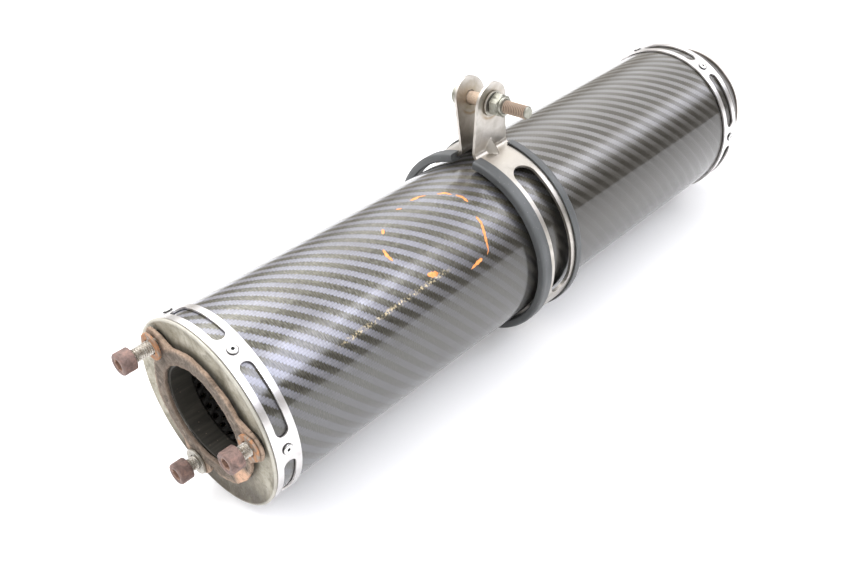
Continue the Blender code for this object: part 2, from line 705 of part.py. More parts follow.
def make_trim(name, edge, inward, web):
    """A moulded rubber edge trim, slit to take the strap's edge, open where the ears stand.

    The section's points are (distance in from the trim's outer side, radius).
    """
    slit_low = STRAP_MID_RADIUS - STRAP_THICKNESS / 2 - FIT_GAP
    slit_high = STRAP_MID_RADIUS + STRAP_THICKNESS / 2 + FIT_GAP
    soft = TRIM_CORNER
    width = web + TRIM_GRIP
    section = [
        (0.0, TRIM_INNER_RADIUS + soft),
        (0.0, TRIM_OUTER_RADIUS - soft),
        (soft, TRIM_OUTER_RADIUS),
        (width, TRIM_OUTER_RADIUS),
        (width, slit_high),
        (web, slit_high),
        (web, slit_low),
        (width, slit_low),
        (width, TRIM_INNER_RADIUS),
        (soft, TRIM_INNER_RADIUS),
    ]
    start = edge - inward * (web + FIT_GAP)
    body = bmesh.new()
    corners = [body.verts.new((start + inward * depth, 0.0, radius)) for depth, radius in section]
    face = body.faces.new(corners)
    first = round_the_can(TRIM_GAP_ANGLE)
    bmesh.ops.transform(body, matrix=first, verts=body.verts)
    bmesh.ops.spin(
        body, geom=[face, *face.edges, *face.verts], cent=(0, 0, 0), axis=(1, 0, 0),
        angle=math.tau - 2 * TRIM_GAP_ANGLE, steps=STRAP_STEPS, use_duplicate=False,
    )
    bmesh.ops.recalc_face_normals(body, faces=body.faces)
    mesh = bpy.data.meshes.new(name)
    body.to_mesh(mesh)
    body.free()
    add_part(name, mesh, RUBBER)


def make_clamp_fasteners():
    """The bolt across the ears, the washer lying on the leaning ear, and the lock nut."""
    make_cap_screw("clamp_bolt", BOLT_LENGTH, far_side_place(BOLT_SEAT_Y), WORN_ZINC)
    lean = BOLT_Z - STRAP_MID_RADIUS
    ear_face = EAR_HALF_GAP + STRAP_THICKNESS + lean * math.tan(EAR_SPLAY)
    washer_place = clamp_bolt_place(-ear_face - FIT_GAP) @ Matrix.Rotation(EAR_SPLAY, 4, "X")
    make_washer(
        "clamp_washer", CLAMP_WASHER_RADIUS, CLAMP_WASHER_THICKNESS, THREAD_HOLE_RADIUS,
        washer_place, WORN_ZINC,
    )
    place = clamp_bolt_place(NUT_SEAT_Y)
    hexagon = rod_mesh("clamp_nut", NUT_RADIUS, 0.0, NUT_HEX_HEIGHT, segments=6)
    nut = add_part("clamp_nut", hexagon, WORN_ZINC, place)
    collar = rod_mesh("nut_collar", NUT_COLLAR_RADIUS, NUT_HEX_HEIGHT - MM, NUT_HEIGHT, segments=20)
    cut(nut, add_cutter("nut_collar", collar, place), "UNION")
    thread = rod_mesh("nut_thread", THREAD_HOLE_RADIUS, -MM, NUT_HEIGHT + MM, segments=20)
    cut(nut, add_cutter("nut_thread", thread, place))


def far_side_place(y):
    """Stands a cap screw with its seat at y on the bolt axis, head towards +Y and tip towards -Y."""
    return Matrix.Translation((CLAMP_X, y, BOLT_Z)) @ Matrix.Rotation(-math.pi / 2, 4, "X")


def smooth_round_pieces():
    for part in PARTS.objects:
        if part.type == "MESH":
            part.data.shade_smooth()
            part.data.set_sharp_from_angle(angle=SMOOTH_ANGLE)


clear_scene()
PARTS = new_collection("exhaust_muffler")
CUTTERS = new_collection("cutters")
CUTTERS.hide_render = True

CARBON = new_material("carbon_fibre", (0.05, 0.05, 0.055), 0.18, 0.0)
STAINLESS = new_material("stainless_strap", (0.72, 0.70, 0.67), 0.22, 1.0)
RIVET = new_material("rivet_steel", (0.70, 0.69, 0.67), 0.28, 1.0)
CAP_STEEL = new_material("dull_cap_steel", (0.44, 0.42, 0.36), 0.42, 1.0)
SOOTY_STEEL = new_material("sooty_steel", (0.07, 0.06, 0.05), 0.65, 0.6)
RUSTY_GASKET = new_material("rusty_gasket", (0.36, 0.21, 0.13), 0.80, 0.1)
RUSTY_STEEL = new_material("rusty_steel", (0.33, 0.23, 0.19), 0.62, 0.5)
WORN_ZINC = new_material("worn_zinc", (0.50, 0.48, 0.43), 0.40, 0.9)
RUBBER = new_material("grey_rubber", (0.17, 0.18, 0.19), 0.60, 0.0)
WOOL = new_material("glass_wool", (0.70, 0.66, 0.52), 0.95, 0.0)

front_rivet_x = CAN_START + BAND_WIDTH / 2
rear_rivet_x = CAN_END - BAND_WIDTH / 2
front_rivet_holes = rivet_hole_cutter("front_rivet_holes", front_rivet_x, FRONT_RIVET_ANGLE)
rear_rivet_holes = rivet_hole_cutter("rear_rivet_holes", rear_rivet_x, REAR_RIVET_ANGLE)
make_sleeve(front_rivet_holes, rear_rivet_holes)
make_band("front_band", CAN_START, FRONT_RIVET_ANGLE, front_rivet_holes)
make_band("rear_band", CAN_END - BAND_WIDTH, REAR_RIVET_ANGLE, rear_rivet_holes)
make_rivets("front", front_rivet_x, FRONT_RIVET_ANGLE)
make_rivets("rear", rear_rivet_x, REAR_RIVET_ANGLE)
make_inlet_cap(front_rivet_holes)
make_outlet_cap(rear_rivet_holes)
make_outlet_cup()
make_gas_way()
make_gasket()
make_inlet_fasteners()
make_clamp_strap()
make_trim("clamp_trim_front", CLAMP_X - STRAP_WIDTH / 2, 1, FRONT_TRIM_WEB)
make_trim("clamp_trim_rear", CLAMP_X + STRAP_WIDTH / 2, -1, REAR_TRIM_WEB)
make_clamp_fasteners()
smooth_round_pieces()
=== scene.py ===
import math

import bmesh
import bpy
import numpy as np
from mathutils import Matrix


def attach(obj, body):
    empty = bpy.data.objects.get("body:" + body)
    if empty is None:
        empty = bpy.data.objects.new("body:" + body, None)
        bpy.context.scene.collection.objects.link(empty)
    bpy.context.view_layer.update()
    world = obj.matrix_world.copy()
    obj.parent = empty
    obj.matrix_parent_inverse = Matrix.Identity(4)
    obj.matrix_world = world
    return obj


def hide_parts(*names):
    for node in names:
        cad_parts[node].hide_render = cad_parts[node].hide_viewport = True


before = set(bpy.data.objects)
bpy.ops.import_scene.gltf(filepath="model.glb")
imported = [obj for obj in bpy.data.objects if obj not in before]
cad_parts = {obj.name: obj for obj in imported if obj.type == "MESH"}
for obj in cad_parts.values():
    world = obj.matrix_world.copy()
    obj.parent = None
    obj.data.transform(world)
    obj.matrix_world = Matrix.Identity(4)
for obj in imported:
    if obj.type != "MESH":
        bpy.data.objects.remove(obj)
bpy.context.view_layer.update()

# ----------------------------------------------------------
# Sleeve: a tube of twill-woven carbon fibre under thick gloss resin. The tows lie along the can
# and round it, four over and four under, so the ribs climb round the can as they run rearwards.
# ----------------------------------------------------------


def surface(name, *grids, body="muffler", stands_for=(), finish=None, sharp=0.6):
    """A piece whose skin is grids of points in millimetres, each (rows, columns, 3) or, with two
    more columns of pattern coordinates, (rows, columns, 5). Quads join point (i, j) to (i+1, j+1).
    Points that coincide, at seams and poles, become one.
    """
    points, quads, pattern, first = [], [], [], 0
    for grid in grids:
        rows, columns = grid.shape[:2]
        index = first + np.arange(rows * columns).reshape(rows, columns)
        corners = (index[:-1, :-1], index[1:, :-1], index[1:, 1:], index[:-1, 1:])
        quads.append(np.stack(corners, axis=-1).reshape(-1, 4))
        points.append(grid[..., :3].reshape(-1, 3) * 0.001)
        pattern.append(grid[..., 3:].reshape(rows * columns, -1))
        first += rows * columns
    points, quads, pattern = (np.concatenate(part) for part in (points, quads, pattern))
    mesh = bpy.data.meshes.new(name)
    mesh.from_pydata(points.tolist(), [], quads.tolist())
    if pattern.shape[1] == 2:
        layer = mesh.uv_layers.new(name="tows")
        layer.data.foreach_set("uv", pattern[quads.ravel()].ravel())
    work = bmesh.new()
    work.from_mesh(mesh)
    bmesh.ops.remove_doubles(work, verts=work.verts, dist=0.000001)
    bmesh.ops.recalc_face_normals(work, faces=work.faces)
    work.to_mesh(mesh)
    work.free()
    mesh.shade_smooth()
    mesh.set_sharp_from_angle(angle=sharp)
    piece = bpy.data.objects.new(name, mesh)
    bpy.context.scene.collection.objects.link(piece)
    if finish:
        mesh.materials.append(finish)
        if stands_for:
            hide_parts(*stands_for)
        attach(piece, body)
    else:
        piece.hide_render = True
    return piece


def eased(corners, ease=0.3, count=4, closed=True):
    """An outline with its corners rounded. Each corner P between A and B becomes the curve
    (1-t)^2 S + 2t(1-t) P + t^2 E, where S and E lie on PA and PB, at most the ease away from P.
    A further point on each side, a little beyond S and E, keeps the shading of the flats flat.
    """
    p = np.asarray(corners, float)
    a, b = np.roll(p, 1, axis=0), np.roll(p, -1, axis=0)
    to_a, to_b = a - p, b - p
    long_a = np.linalg.norm(to_a, axis=1, keepdims=True)
    long_b = np.linalg.norm(to_b, axis=1, keepdims=True)
    reach = np.broadcast_to(np.asarray(ease, float).reshape(-1, 1), long_a.shape)
    s, e = (p + to / far * np.minimum(reach, far * 0.42) for to, far in ((to_a, long_a), (to_b, long_b)))
    before, after = (
        p + to / far * np.minimum(reach * 1.25, far * 0.47) for to, far in ((to_a, long_a), (to_b, long_b))
    )
    t = np.linspace(0, 1, count)[None, :, None]
    curve = (1 - t) ** 2 * s[:, None] + 2 * t * (1 - t) * p[:, None] + t**2 * e[:, None]
    curve = np.concatenate([before[:, None], curve, after[:, None]], axis=1)
    if closed:
        curve = curve.reshape(-1, 2)
        return np.vstack([curve, curve[:1]])
    return np.vstack([p[:1], curve[1:-1].reshape(-1, 2), p[-1:]])


CAN = (np.zeros(3), np.array([1.0, 0, 0]), np.array([0, 0, 1.0]), np.array([0, -1.0, 0]))


def turned(outline, steps=192, line=CAN, section=None):
    """A grid from an outline of (h, r) points turned round a line: o + h n + r (u cos a + v sin a).
    section(a), one factor or a row of them for each point, makes the section other than round.
    """
    origin, along, u, v = line
    h, r = np.asarray(outline, float).T[:, :, None]
    a = np.linspace(0, math.tau, steps + 1)[None, :]
    if section is not None:
        r = r * section(a)
    out = u * np.cos(a)[..., None] + v * np.sin(a)[..., None]
    return origin + along * h[..., None] + out * r[..., None]


def round_can(x, radius, a):
    """Points at x, that far from the can's axis, at the angle a from the top to the near side."""
    return np.stack(np.broadcast_arrays(x, -radius * np.sin(a), radius * np.cos(a)), axis=-1)


class Finish:
    """A procedural finish. Each call adds a step and gives its result, to feed to later steps."""

    def __init__(self, name, kind="materials", shader="Principled BSDF", place="Object"):
        self.material = getattr(bpy.data, kind).new(name)
        self.material.use_nodes = True
        self.tree = self.material.node_tree
        self.shader = self.tree.nodes[shader]
        self.place = self.add("TexCoord", out=place)
        self.x, self.y, self.z = (
            self.add("SeparateXYZ", {"Vector": self.place}, out=axis) for axis in "XYZ"
        )

    def add(self, kind, inputs=None, out=0, **settings):
        step = self.tree.nodes.new("ShaderNode" + kind)
        for key, value in settings.items():
            setattr(step, key, value)
        for key, value in (inputs or {}).items():
            self.feed(step.inputs[key], value)
        return step.outputs[out]

    def feed(self, socket, value):
        """Joins the socket to another step's result, or sets its number or colour."""
        if isinstance(value, bpy.types.NodeSocket):
            self.tree.links.new(value, socket)
        elif socket.type == "RGBA":
            socket.default_value = (*value, 1.0)
        else:
            socket.default_value = value

    def calc(self, operation, a, b=0.0, c=0.0):
        return self.add("Math", {0: a, 1: b, 2: c}, operation=operation)

    def times(self, a, b):
        return self.calc("MULTIPLY", a, b)

    def span(self, value, low, high, first=0.0, last=1.0):
        """The value's run from low to high, as a run from first to last, held at both ends."""
        ends = {"Value": value, "From Min": low, "From Max": high, "To Min": first, "To Max": last}
        return self.add("MapRange", ends)

    def grain(self, size, detail=3.0, rough=0.55, stretch=(1, 1, 1), warp=0.0, shift=0.0):
        """Cloudy noise with features of that size in millimetres, drawn out by the stretch."""
        scale = tuple(1 / s for s in stretch)
        where = self.add("Mapping", {"Vector": self.place, "Scale": scale, "Location": (shift,) * 3})
        inputs = {"Vector": where, "Scale": 1000 / size, "Detail": detail, "Roughness": rough}
        inputs["Distortion"] = warp
        return self.add("TexNoise", inputs)

    def spots(self, size):
        """Distance from scattered points that lie about that many millimetres apart."""
        return self.add("TexVoronoi", {"Vector": self.place, "Scale": 1000 / size}, out="Distance")

    def blend(self, share, first, last):
        """The first colour where the share is 0, the last where it is 1."""
        return self.add("Mix", {"Factor": share, 6: first, 7: last}, out=2, data_type="RGBA")

    def bands(self, value, *stops):
        """Colours along a value: each stop is (where, colour)."""
        colour = self.add("ValToRGB", {"Fac": value})
        ramp = colour.node.color_ramp
        while len(ramp.elements) < len(stops):
            ramp.elements.new(0.5)
        for element, (where, shade) in zip(ramp.elements, stops):
            element.position = where
            element.color = (*shade, 1.0)
        return colour

    def relief(self, height, depth, under=None):
        """A surface normal for a height from 0 to 1 that stands for that many millimetres."""
        inputs = {"Height": height, "Distance": depth * 0.001, "Strength": 1.0}
        if under:
            inputs["Normal"] = under
        return self.add("Bump", inputs)

    def away(self, x, y, z, across=(1, 1, 1)):
        """Distance in metres from a point in millimetres, each axis weighed by its share."""
        point = (x * 0.001, y * 0.001, z * 0.001)
        here = self.add("VectorMath", {0: self.place, 1: point}, operation="SUBTRACT")
        weighed = self.add("VectorMath", {0: here, 1: across}, operation="MULTIPLY")
        return self.add("VectorMath", {0: weighed}, out="Value", operation="LENGTH")

    def done(self, **inputs):
        names = {
            "colour": "Base Color", "metal": "Metallic", "rough": "Roughness", "normal": "Normal",
            "coat": "Coat Weight", "coat_rough": "Coat Roughness", "coat_normal": "Coat Normal",
            "coat_ior": "Coat IOR", "one_way": "Anisotropic", "turn": "Anisotropic Rotation",
            "tangent": "Tangent", "lit": "Emission Color", "lit_power": "Emission Strength",
            "sky": "Color", "sky_power": "Strength",
        }
        for key, value in inputs.items():
            self.feed(self.shader.inputs[names[key]], value)
        return self.material


def carbon_twill():
    """Pattern coordinate u counts the tows that lie along the can and v those that lie round it.
    With j and i their whole parts, the round tow is on top where (i - j) mod 8 < 4, so each tow
    floats over four and dives under four, and the ribs step up one tow at a time.
    """
    f = Finish("carbon_twill")
    tows = f.add("UVMap", uv_map="tows")
    u = f.add("SeparateXYZ", {"Vector": tows}, out="X")
    v = f.add("SeparateXYZ", {"Vector": tows}, out="Y")
    j, i = f.calc("FLOOR", u), f.calc("FLOOR", v)
    across_u, across_v = f.calc("FRACT", u), f.calc("FRACT", v)
    round_top = f.calc("LESS_THAN", f.calc("FLOORED_MODULO", f.calc("SUBTRACT", i, j), 8.0), 4.0)
    # How far along its float each tow is, from -1 at one dive to 1 at the next.
    run = f.calc("FLOORED_MODULO", f.calc("ADD", f.calc("SUBTRACT", i, u), 1.0), 8.0)
    run = f.calc("MULTIPLY_ADD", run, 0.5, -1.0)
    lie = f.calc("FLOORED_MODULO", f.calc("SUBTRACT", v, j), 8.0)
    lie = f.calc("MULTIPLY_ADD", lie, 0.5, -3.0)

    def arch(share, power=2.0):
        """1 - |s|^power, the crown of a tow across its width or along its float."""
        return f.calc("SUBTRACT", 1.0, f.calc("POWER", f.calc("ABSOLUTE", share), power))

    width_round = arch(f.calc("MULTIPLY_ADD", across_v, 2.0, -1.0))
    width_along = arch(f.calc("MULTIPLY_ADD", across_u, 2.0, -1.0))
    crown_round = f.calc("MULTIPLY_ADD", width_round, 0.30, f.times(arch(run), 0.7))
    crown_along = f.calc("MULTIPLY_ADD", width_along, 0.22, f.times(arch(lie), 0.7))
    crown = f.add("Mix", {"Factor": round_top, 2: crown_along, 3: crown_round})
    drawn_out = f.add("Mapping", {"Vector": tows, "Scale": (0.5, 2.4, 1.0)})
    threads = f.add("TexNoise", {"Vector": drawn_out, "Scale": 1.0, "Detail": 2.0})
    gloss_cloud = f.grain(34, detail=2.0)
    # Painted shade: the tows' edges and the gaps between them are painted near black.
    edge_gap_shade = f.times(f.span(width_round, 0.0, 0.5, 1.0, 0.0), 0.5)
    # Painted reflection: the tows along the can are painted light, for their broad sheen round the can. The
    # tows round it are painted dark, for their narrow highlight. Towards the rear the two are painted
    # closer.
    dark = f.blend(f.span(threads, 0.40, 0.66), (0.045, 0.040, 0.026), (0.175, 0.168, 0.130))
    dark = f.blend(edge_gap_shade, dark, (0.012, 0.010, 0.008))
    light = f.blend(f.span(threads, 0.35, 0.7), (0.18, 0.18, 0.205), (0.28, 0.28, 0.31))
    light = f.blend(f.span(width_along, 0.0, 0.4, 0.6, 0.0), light, (0.05, 0.048, 0.05))
    rear = f.span(f.x, 0.20, 0.27)
    light = f.blend(f.times(rear, 0.75), light, (0.185, 0.178, 0.160))
    dark = f.blend(f.times(rear, 0.70), dark, (0.040, 0.034, 0.025))
    cloth = f.blend(round_top, light, dark)
    # Painted shade where the tows dip and dive under their neighbours.
    cloth = f.blend(f.span(crown, 0.0, 0.30, 0.85, 0.0), cloth, (0.012, 0.010, 0.008))
    cloth = f.blend(f.span(gloss_cloud, 0.35, 0.7, 0.0, 0.35), cloth, (0.050, 0.042, 0.030))
    # Painted reflection of the room on the lower side: a dull grey that drowns the ribs, and darker brown
    # on the lower side towards the rear.
    angle = f.calc("ARCTAN2", f.times(f.y, -1.0), f.z)
    haze = f.span(angle, 0.90, 1.30, 0.0, 0.72)
    cloth = f.blend(haze, cloth, (0.080, 0.079, 0.073))
    brown_room_reflection = f.times(f.span(angle, 0.80, 1.10), f.span(f.x, 0.06, 0.28, 0.0, 0.85))
    cloth = f.blend(brown_room_reflection, cloth, (0.036, 0.032, 0.025))
    scuffs = f.span(f.grain(1.1, detail=6.0, rough=0.75, stretch=(1, 3, 3)), 0.60, 0.72)
    worn = f.times(scuffs, f.span(f.grain(70, detail=2.0), 0.52, 0.72))
    # Painted reflection: warm cream specks in a thin trail below the paint ring, where the edge of a warm
    # light is caught.
    warm_reflection_trail = f.calc("ABSOLUTE", f.calc("SUBTRACT", angle, f.span(f.x, 0.062, 0.146, 1.00, 0.96)))
    along = f.times(f.span(f.x, 0.060, 0.072), f.span(f.x, 0.150, 0.140))
    warm_reflection_trail = f.times(f.span(warm_reflection_trail, 0.035, 0.005), along)
    warm_reflection_specks = f.times(warm_reflection_trail, f.span(f.grain(1.6, detail=3.0, rough=0.7), 0.50, 0.60))
    colour = f.blend(f.times(worn, 0.22), cloth, (0.30, 0.30, 0.30))
    return f.done(
        colour=f.blend(f.times(warm_reflection_specks, 0.8), colour, (0.80, 0.66, 0.40)),
        metal=0.75, rough=0.42, one_way=0.8, turn=f.times(round_top, 0.25),
        tangent=f.add("Tangent", direction_type="UV_MAP", uv_map="tows"),
        normal=f.relief(crown, 0.10), coat=0.9, coat_rough=0.05, coat_ior=1.5,
        coat_normal=f.relief(f.grain(16, detail=1.0, stretch=(2.5, 1, 1)), 0.10),
    )


def with_tows(grid, tows_round, tow_width):
    """The grid with tow counts added: u from its columns, round the can, and v from its x."""
    columns = np.linspace(0, tows_round, grid.shape[1])
    u = np.broadcast_to(columns[None, :, None], (*grid.shape[:2], 1))
    return np.concatenate([grid, u, grid[..., :1] / tow_width + 3.4], axis=-1)


carbon = carbon_twill()
sleeve_outline = eased([(453.0, 53.4), (453.0, 55.0), (5.0, 55.0), (5.0, 53.4)], 0.2, 3)
surface(
    "sleeve", with_tows(turned(sleeve_outline, 288), 240, 1.25),
    stands_for=["carbon_sleeve"], finish=carbon,
)

# ----------------------------------------------------------
# Orange paint-pen dashes, drawn by hand as a broken ring on the sleeve. They are thin skins of
# dry paint that lie on the resin, thick where the pen paused and fading where it ran out.
# ----------------------------------------------------------


def dash(stations):
    """A low closed skin along stations of (x, angle in degrees, half width): at each one, an
    ellipse of that half width lies on the sleeve, drawn to nothing at both ends.
    """
    s = np.asarray(stations, float)
    t = np.linspace(0, len(s) - 1, 12 * (len(s) - 1) + 1)
    knots = np.arange(len(s))
    columns = (s[:, 0], np.radians(s[:, 1]) * 55, s[:, 2])
    x, arc, wide = (np.interp(t, knots, column) for column in columns)
    ends = np.sqrt(np.clip(np.minimum(t, t[-1] - t) * 2.4, 0, 1))
    wide = wide * ends * (1 + 0.18 * np.sin(t * 9.1) + 0.1 * np.sin(t * 23.0))
    run = np.stack([np.gradient(x), np.gradient(arc)], axis=-1)
    run /= np.linalg.norm(run, axis=1, keepdims=True)
    turn = np.linspace(0, math.tau, 13)[None, :]
    side, rise = np.cos(turn) * wide[:, None], np.sin(turn) * 0.045 * ends[:, None]
    px = x[:, None] - side * run[:, 1:2]
    angle = (arc[:, None] + side * run[:, :1]) / 55
    radius = 55.03 + rise
    return round_can(px, radius, angle)


def paint_pen():
    """Dry orange paint in streaks, thin and paler in places."""
    f = Finish("orange_paint_pen")
    streak = f.grain(1.6, detail=5.0, rough=0.7)
    colour = f.bands(
        streak, (0.3, (0.62, 0.17, 0.035)), (0.5, (0.85, 0.30, 0.075)), (0.75, (0.95, 0.46, 0.16)),
    )
    return f.done(colour=colour, rough=0.45, normal=f.relief(streak, 0.05))


surface(
    "paint_pen_ring",
    dash([(163.9, 2.2, 0.9), (167.5, 2.8, 1.0), (170.4, 3.2, 0.5), (173.9, 5.5, 0.35)]),
    dash([(179.6, 9.2, 0.6), (183.8, 11.9, 0.8), (185.9, 15.8, 0.5)]),
    dash([(187.3, 17.4, 0.6), (189.4, 21.4, 0.8), (189.3, 26.3, 0.9)]),
    dash([
        (185.9, 37.1, 0.9), (186.0, 42.2, 0.7), (184.2, 46.6, 0.9),
        (181.8, 52.6, 0.8), (179.8, 58.5, 0.3), (177.5, 60.6, 0.2),
    ]),
    dash([(172.9, 60.7, 1.2), (167.9, 61.4, 1.0), (161.9, 62.6, 0.3)]),
    dash([(133.0, 50.9, 1.2), (136.3, 52.4, 1.6), (140.1, 53.4, 1.3)]),
    dash([(132.2, 11.7, 1.0), (129.2, 14.9, 1.0)]),
    dash([(120.7, 24.0, 0.8), (119.6, 28.8, 1.0), (120.1, 33.5, 0.6)]),
    dash([(151.3, 2.8, 0.6), (154.4, 4.6, 0.5)]),
    finish=paint_pen(),
)

# ----------------------------------------------------------
# End bands: bright stainless hoops over the sleeve's ends, punched with six long slots each.
# The sheet is thin, polished, and its edges are softened by the polishing.
# ----------------------------------------------------------


def slot_width(along, middles, reach, half):
    """Half width of round-ended slots at places along a strip: w sqrt(1 - e^2), where e says how
    far into the slot's round end the place lies, from 0 to 1; nothing beyond the end.
    """
    off = np.min(np.abs(np.subtract.outer(along, middles)), axis=1)
    into = np.clip((off - (reach - half)) / half, 0, 1)
    return half * np.sqrt(1 - into**2)


def with_slot_ends(along, middles, reach, half, count=9):
    """The places along a strip, with more of them in the slots' round ends."""
    bow = half * (1 - np.cos(np.linspace(0, math.pi / 2, count)))
    ends = np.concatenate([np.asarray(middles) + side * (reach - b) for side in (-1, 1) for b in bow])
    clear = np.min(np.abs(np.subtract.outer(along, ends)), axis=1) > 0.25
    return np.unique(np.round(np.concatenate([along[clear], ends]), 5))


def sheet_thickness(piece, thickness):
    """Gives a skin its thickness in millimetres, half to each side."""
    wall = piece.modifiers.new("sheet", "SOLIDIFY")
    wall.thickness = thickness * 0.001
    wall.offset = 0.0
    wall.use_even_offset = True


def slotted_hoop(start, width, radius, turn, span, half):
    """The two sides of a hoop with six slots: places go round it, x from the slot to the edge."""
    middles = radius * np.radians(turn + 60 * np.arange(-1, 8))
    reach = radius * math.radians(span / 2)
    around = with_slot_ends(np.linspace(0, math.tau * radius, 181), middles, reach, half)
    whole = math.tau * radius
    around = np.unique(np.append(around[(around >= 0) & (around <= whole)], [0, whole]))
    slot = slot_width(around, middles, reach, half)[:, None]
    angle = around[:, None] / radius
    share = np.linspace(0, 1, 5)[None, :]
    for side in (-1, 1):
        x = start + width / 2 + side * (slot + share * (width / 2 - slot))
        yield round_can(x, radius, angle)


def cut_from(piece, *cutters):
    """The cutters are taken out of the piece, and go wherever it goes."""
    for cutter in cutters:
        cutter.parent = piece
        cut = piece.modifiers.new(cutter.name, "BOOLEAN")
        cut.operation = "DIFFERENCE"
        cut.object = cutter
        cut.solver = "EXACT"


def soften(piece, width, segments=2, angle=40):
    """Rounds the piece's sharp edges by that many millimetres."""
    bevel = piece.modifiers.new("softened_edges", "BEVEL")
    bevel.width = width * 0.001
    bevel.segments = segments
    bevel.limit_method = "ANGLE"
    bevel.angle_limit = math.radians(angle)
    bevel.harden_normals = True


def polished_steel(name, tone, dull=0.0):
    """Bright stainless: faint polishing lines along the hoop, and water marks."""
    f = Finish(name)
    marks = f.grain(9, detail=5.0, rough=0.6, warp=0.6)
    lines = f.grain(0.35, detail=2.0, stretch=(1, 14, 14))
    worn, pale_patch = (tuple(share * c for c in tone) for share in (0.80, 1.1))
    colour = f.bands(marks, (0.30, worn), (0.55, tone), (0.8, pale_patch))
    smears = f.span(marks, 0.3, 0.75, 0.24 + dull, 0.14 + dull)
    rough = f.calc("ADD", smears, f.times(lines, 0.08))
    return f.done(colour=colour, metal=1.0, rough=rough, normal=f.relief(lines, 0.006))


band_steel = polished_steel("band_steel", (0.74, 0.715, 0.70), dull=0.08)
for end, start, turn in (("front", 5.0, 59.0), ("rear", 437.0, 62.2)):
    sides = slotted_hoop(start, 16.0, 56.05, turn, 43.8, 3.95)
    hoop = surface(f"{end}_hoop", *sides, stands_for=[f"{end}_band"], finish=band_steel)
    sheet_thickness(hoop, 1.3)
    soften(hoop, 0.2)

# ----------------------------------------------------------
# Pop rivets: domed stainless heads set through the bands, each with the dark hole and the broken
# end of its mandrel in the middle, and a bulb inside the cap's skirt.
# ----------------------------------------------------------


def can_radius(f):
    """Distance from the can's axis in metres."""
    off_axis = f.add("CombineXYZ", {"Y": f.y, "Z": f.z})
    return f.add("VectorMath", {0: off_axis}, out="Value", operation="LENGTH")


def rivet_steel():
    """Clean steel on the head; below the band's face, in the mandrel's hole and under the head's rim, the
    rivet is painted near black as shade.
    """
    f = Finish("rivet_steel")
    haze = f.grain(1.8, detail=4.0)
    head = f.span(can_radius(f), 0.0573, 0.0577)
    bright = f.bands(haze, (0.3, (0.62, 0.61, 0.59)), (0.7, (0.86, 0.85, 0.83)))
    # Painted shade: near black below the band's face, in the hole and under the head's rim.
    return f.done(
        colour=f.blend(head, (0.03, 0.03, 0.03), bright), metal=1.0,
        rough=f.span(haze, 0.3, 0.7, 0.32, 0.2), normal=f.relief(haze, 0.03),
    )


mandrel_rivet = rivet_steel()
rivet_outline = [
    (57.15, 0.0), (57.15, 0.5), (57.2, 0.85), (57.85, 0.95), (57.98, 1.3), (57.95, 1.7), (57.75, 2.5),
    (57.35, 3.05), (57.05, 3.2), (57.0, 3.1), (57.0, 2.0), (51.3, 2.0), (50.4, 2.9), (49.0, 2.9),
    (48.1, 2.0), (48.1, 0.0),
]
for end, x, first in (("front", 13.0, 29.0), ("rear", 445.0, 32.2)):
    for k in range(6):
        a = math.radians(first + 60 * k)
        out = np.array([0, -math.sin(a), math.cos(a)])
        line = (np.array([x, 0, 0.0]), out, np.array([1.0, 0, 0]), np.cross(out, [1.0, 0, 0]))
        surface(
            f"{end}_pop_rivet_{k + 1}", turned(eased(rivet_outline, 0.25, 3, closed=False), 32, line),
            stands_for=[f"{end}_rivet_{k + 1}"], finish=mandrel_rivet,
        )

# ----------------------------------------------------------
# Inlet cap: spun steel, dull and dirty. A rolled lip stands in front of the band, the face is
# dished to a flat with the gas hole, and a skirt runs back inside the sleeve.
# ----------------------------------------------------------


def dull_cap():
    """Matt olive-grey steel: soot runs out from the joint, grime and painted shade darken the corner by the
    gasket, the face is mottled darker towards the bottom, and the rolled lip has a painted highlight and,
    beside the band, a painted shadow.
    """
    f = Finish("dull_cap_steel")
    radius = can_radius(f)
    cloud = f.grain(13, detail=6.0, rough=0.62, warp=0.8)
    fine = f.grain(1.4, detail=5.0, rough=0.7)
    base = f.bands(
        cloud, (0.28, (0.22, 0.20, 0.145)), (0.48, (0.36, 0.335, 0.265)), (0.72, (0.50, 0.475, 0.40)),
    )
    base = f.blend(f.span(fine, 0.55, 0.75, 0.0, 0.5), base, (0.17, 0.145, 0.10))
    runs = f.span(f.grain(5, detail=4.0, stretch=(1, 1.2, 4.5), shift=0.3), 0.5, 0.68)
    joint = f.span(radius, 0.0405, 0.0450, 1.0, 0.0)
    grime_and_gasket_shade = f.times(joint, f.span(cloud, 0.35, 0.6, 0.55, 1.0))
    base = f.blend(f.times(runs, 0.6), base, (0.13, 0.11, 0.075))
    # Mottled darker towards the bottom.
    darker_below = f.times(f.span(f.z, -0.024, -0.042), f.span(cloud, 0.25, 0.50, 0.35, 0.9))
    base = f.blend(darker_below, base, (0.060, 0.047, 0.032))
    spills = f.grain(6.5, detail=5.0, rough=0.7, warp=0.5, shift=4.0)
    blots = f.times(f.span(spills, 0.52, 0.64), 0.5)
    base = f.blend(blots, base, (0.10, 0.085, 0.055))
    # Grime and painted shade darken the face by the gasket.
    base = f.blend(f.times(grime_and_gasket_shade, 0.60), base, (0.075, 0.060, 0.042))
    # Painted highlight: a pale ring on the rolled lip.
    lip = f.span(radius, 0.0553, 0.0563)
    base = f.blend(f.times(lip, 0.55), base, (0.62, 0.60, 0.54))
    # Painted shadow: the lip's outer side, against the band, is painted dark.
    corner = f.times(f.span(radius, 0.0568, 0.0571), f.span(f.x, 0.0036, 0.0044))
    base = f.blend(corner, base, (0.10, 0.085, 0.06))
    return f.done(
        colour=base, metal=0.40, rough=f.span(fine, 0.3, 0.7, 0.42, 0.65),
        normal=f.relief(f.calc("MULTIPLY_ADD", cloud, 0.5, fine), 0.10),
    )


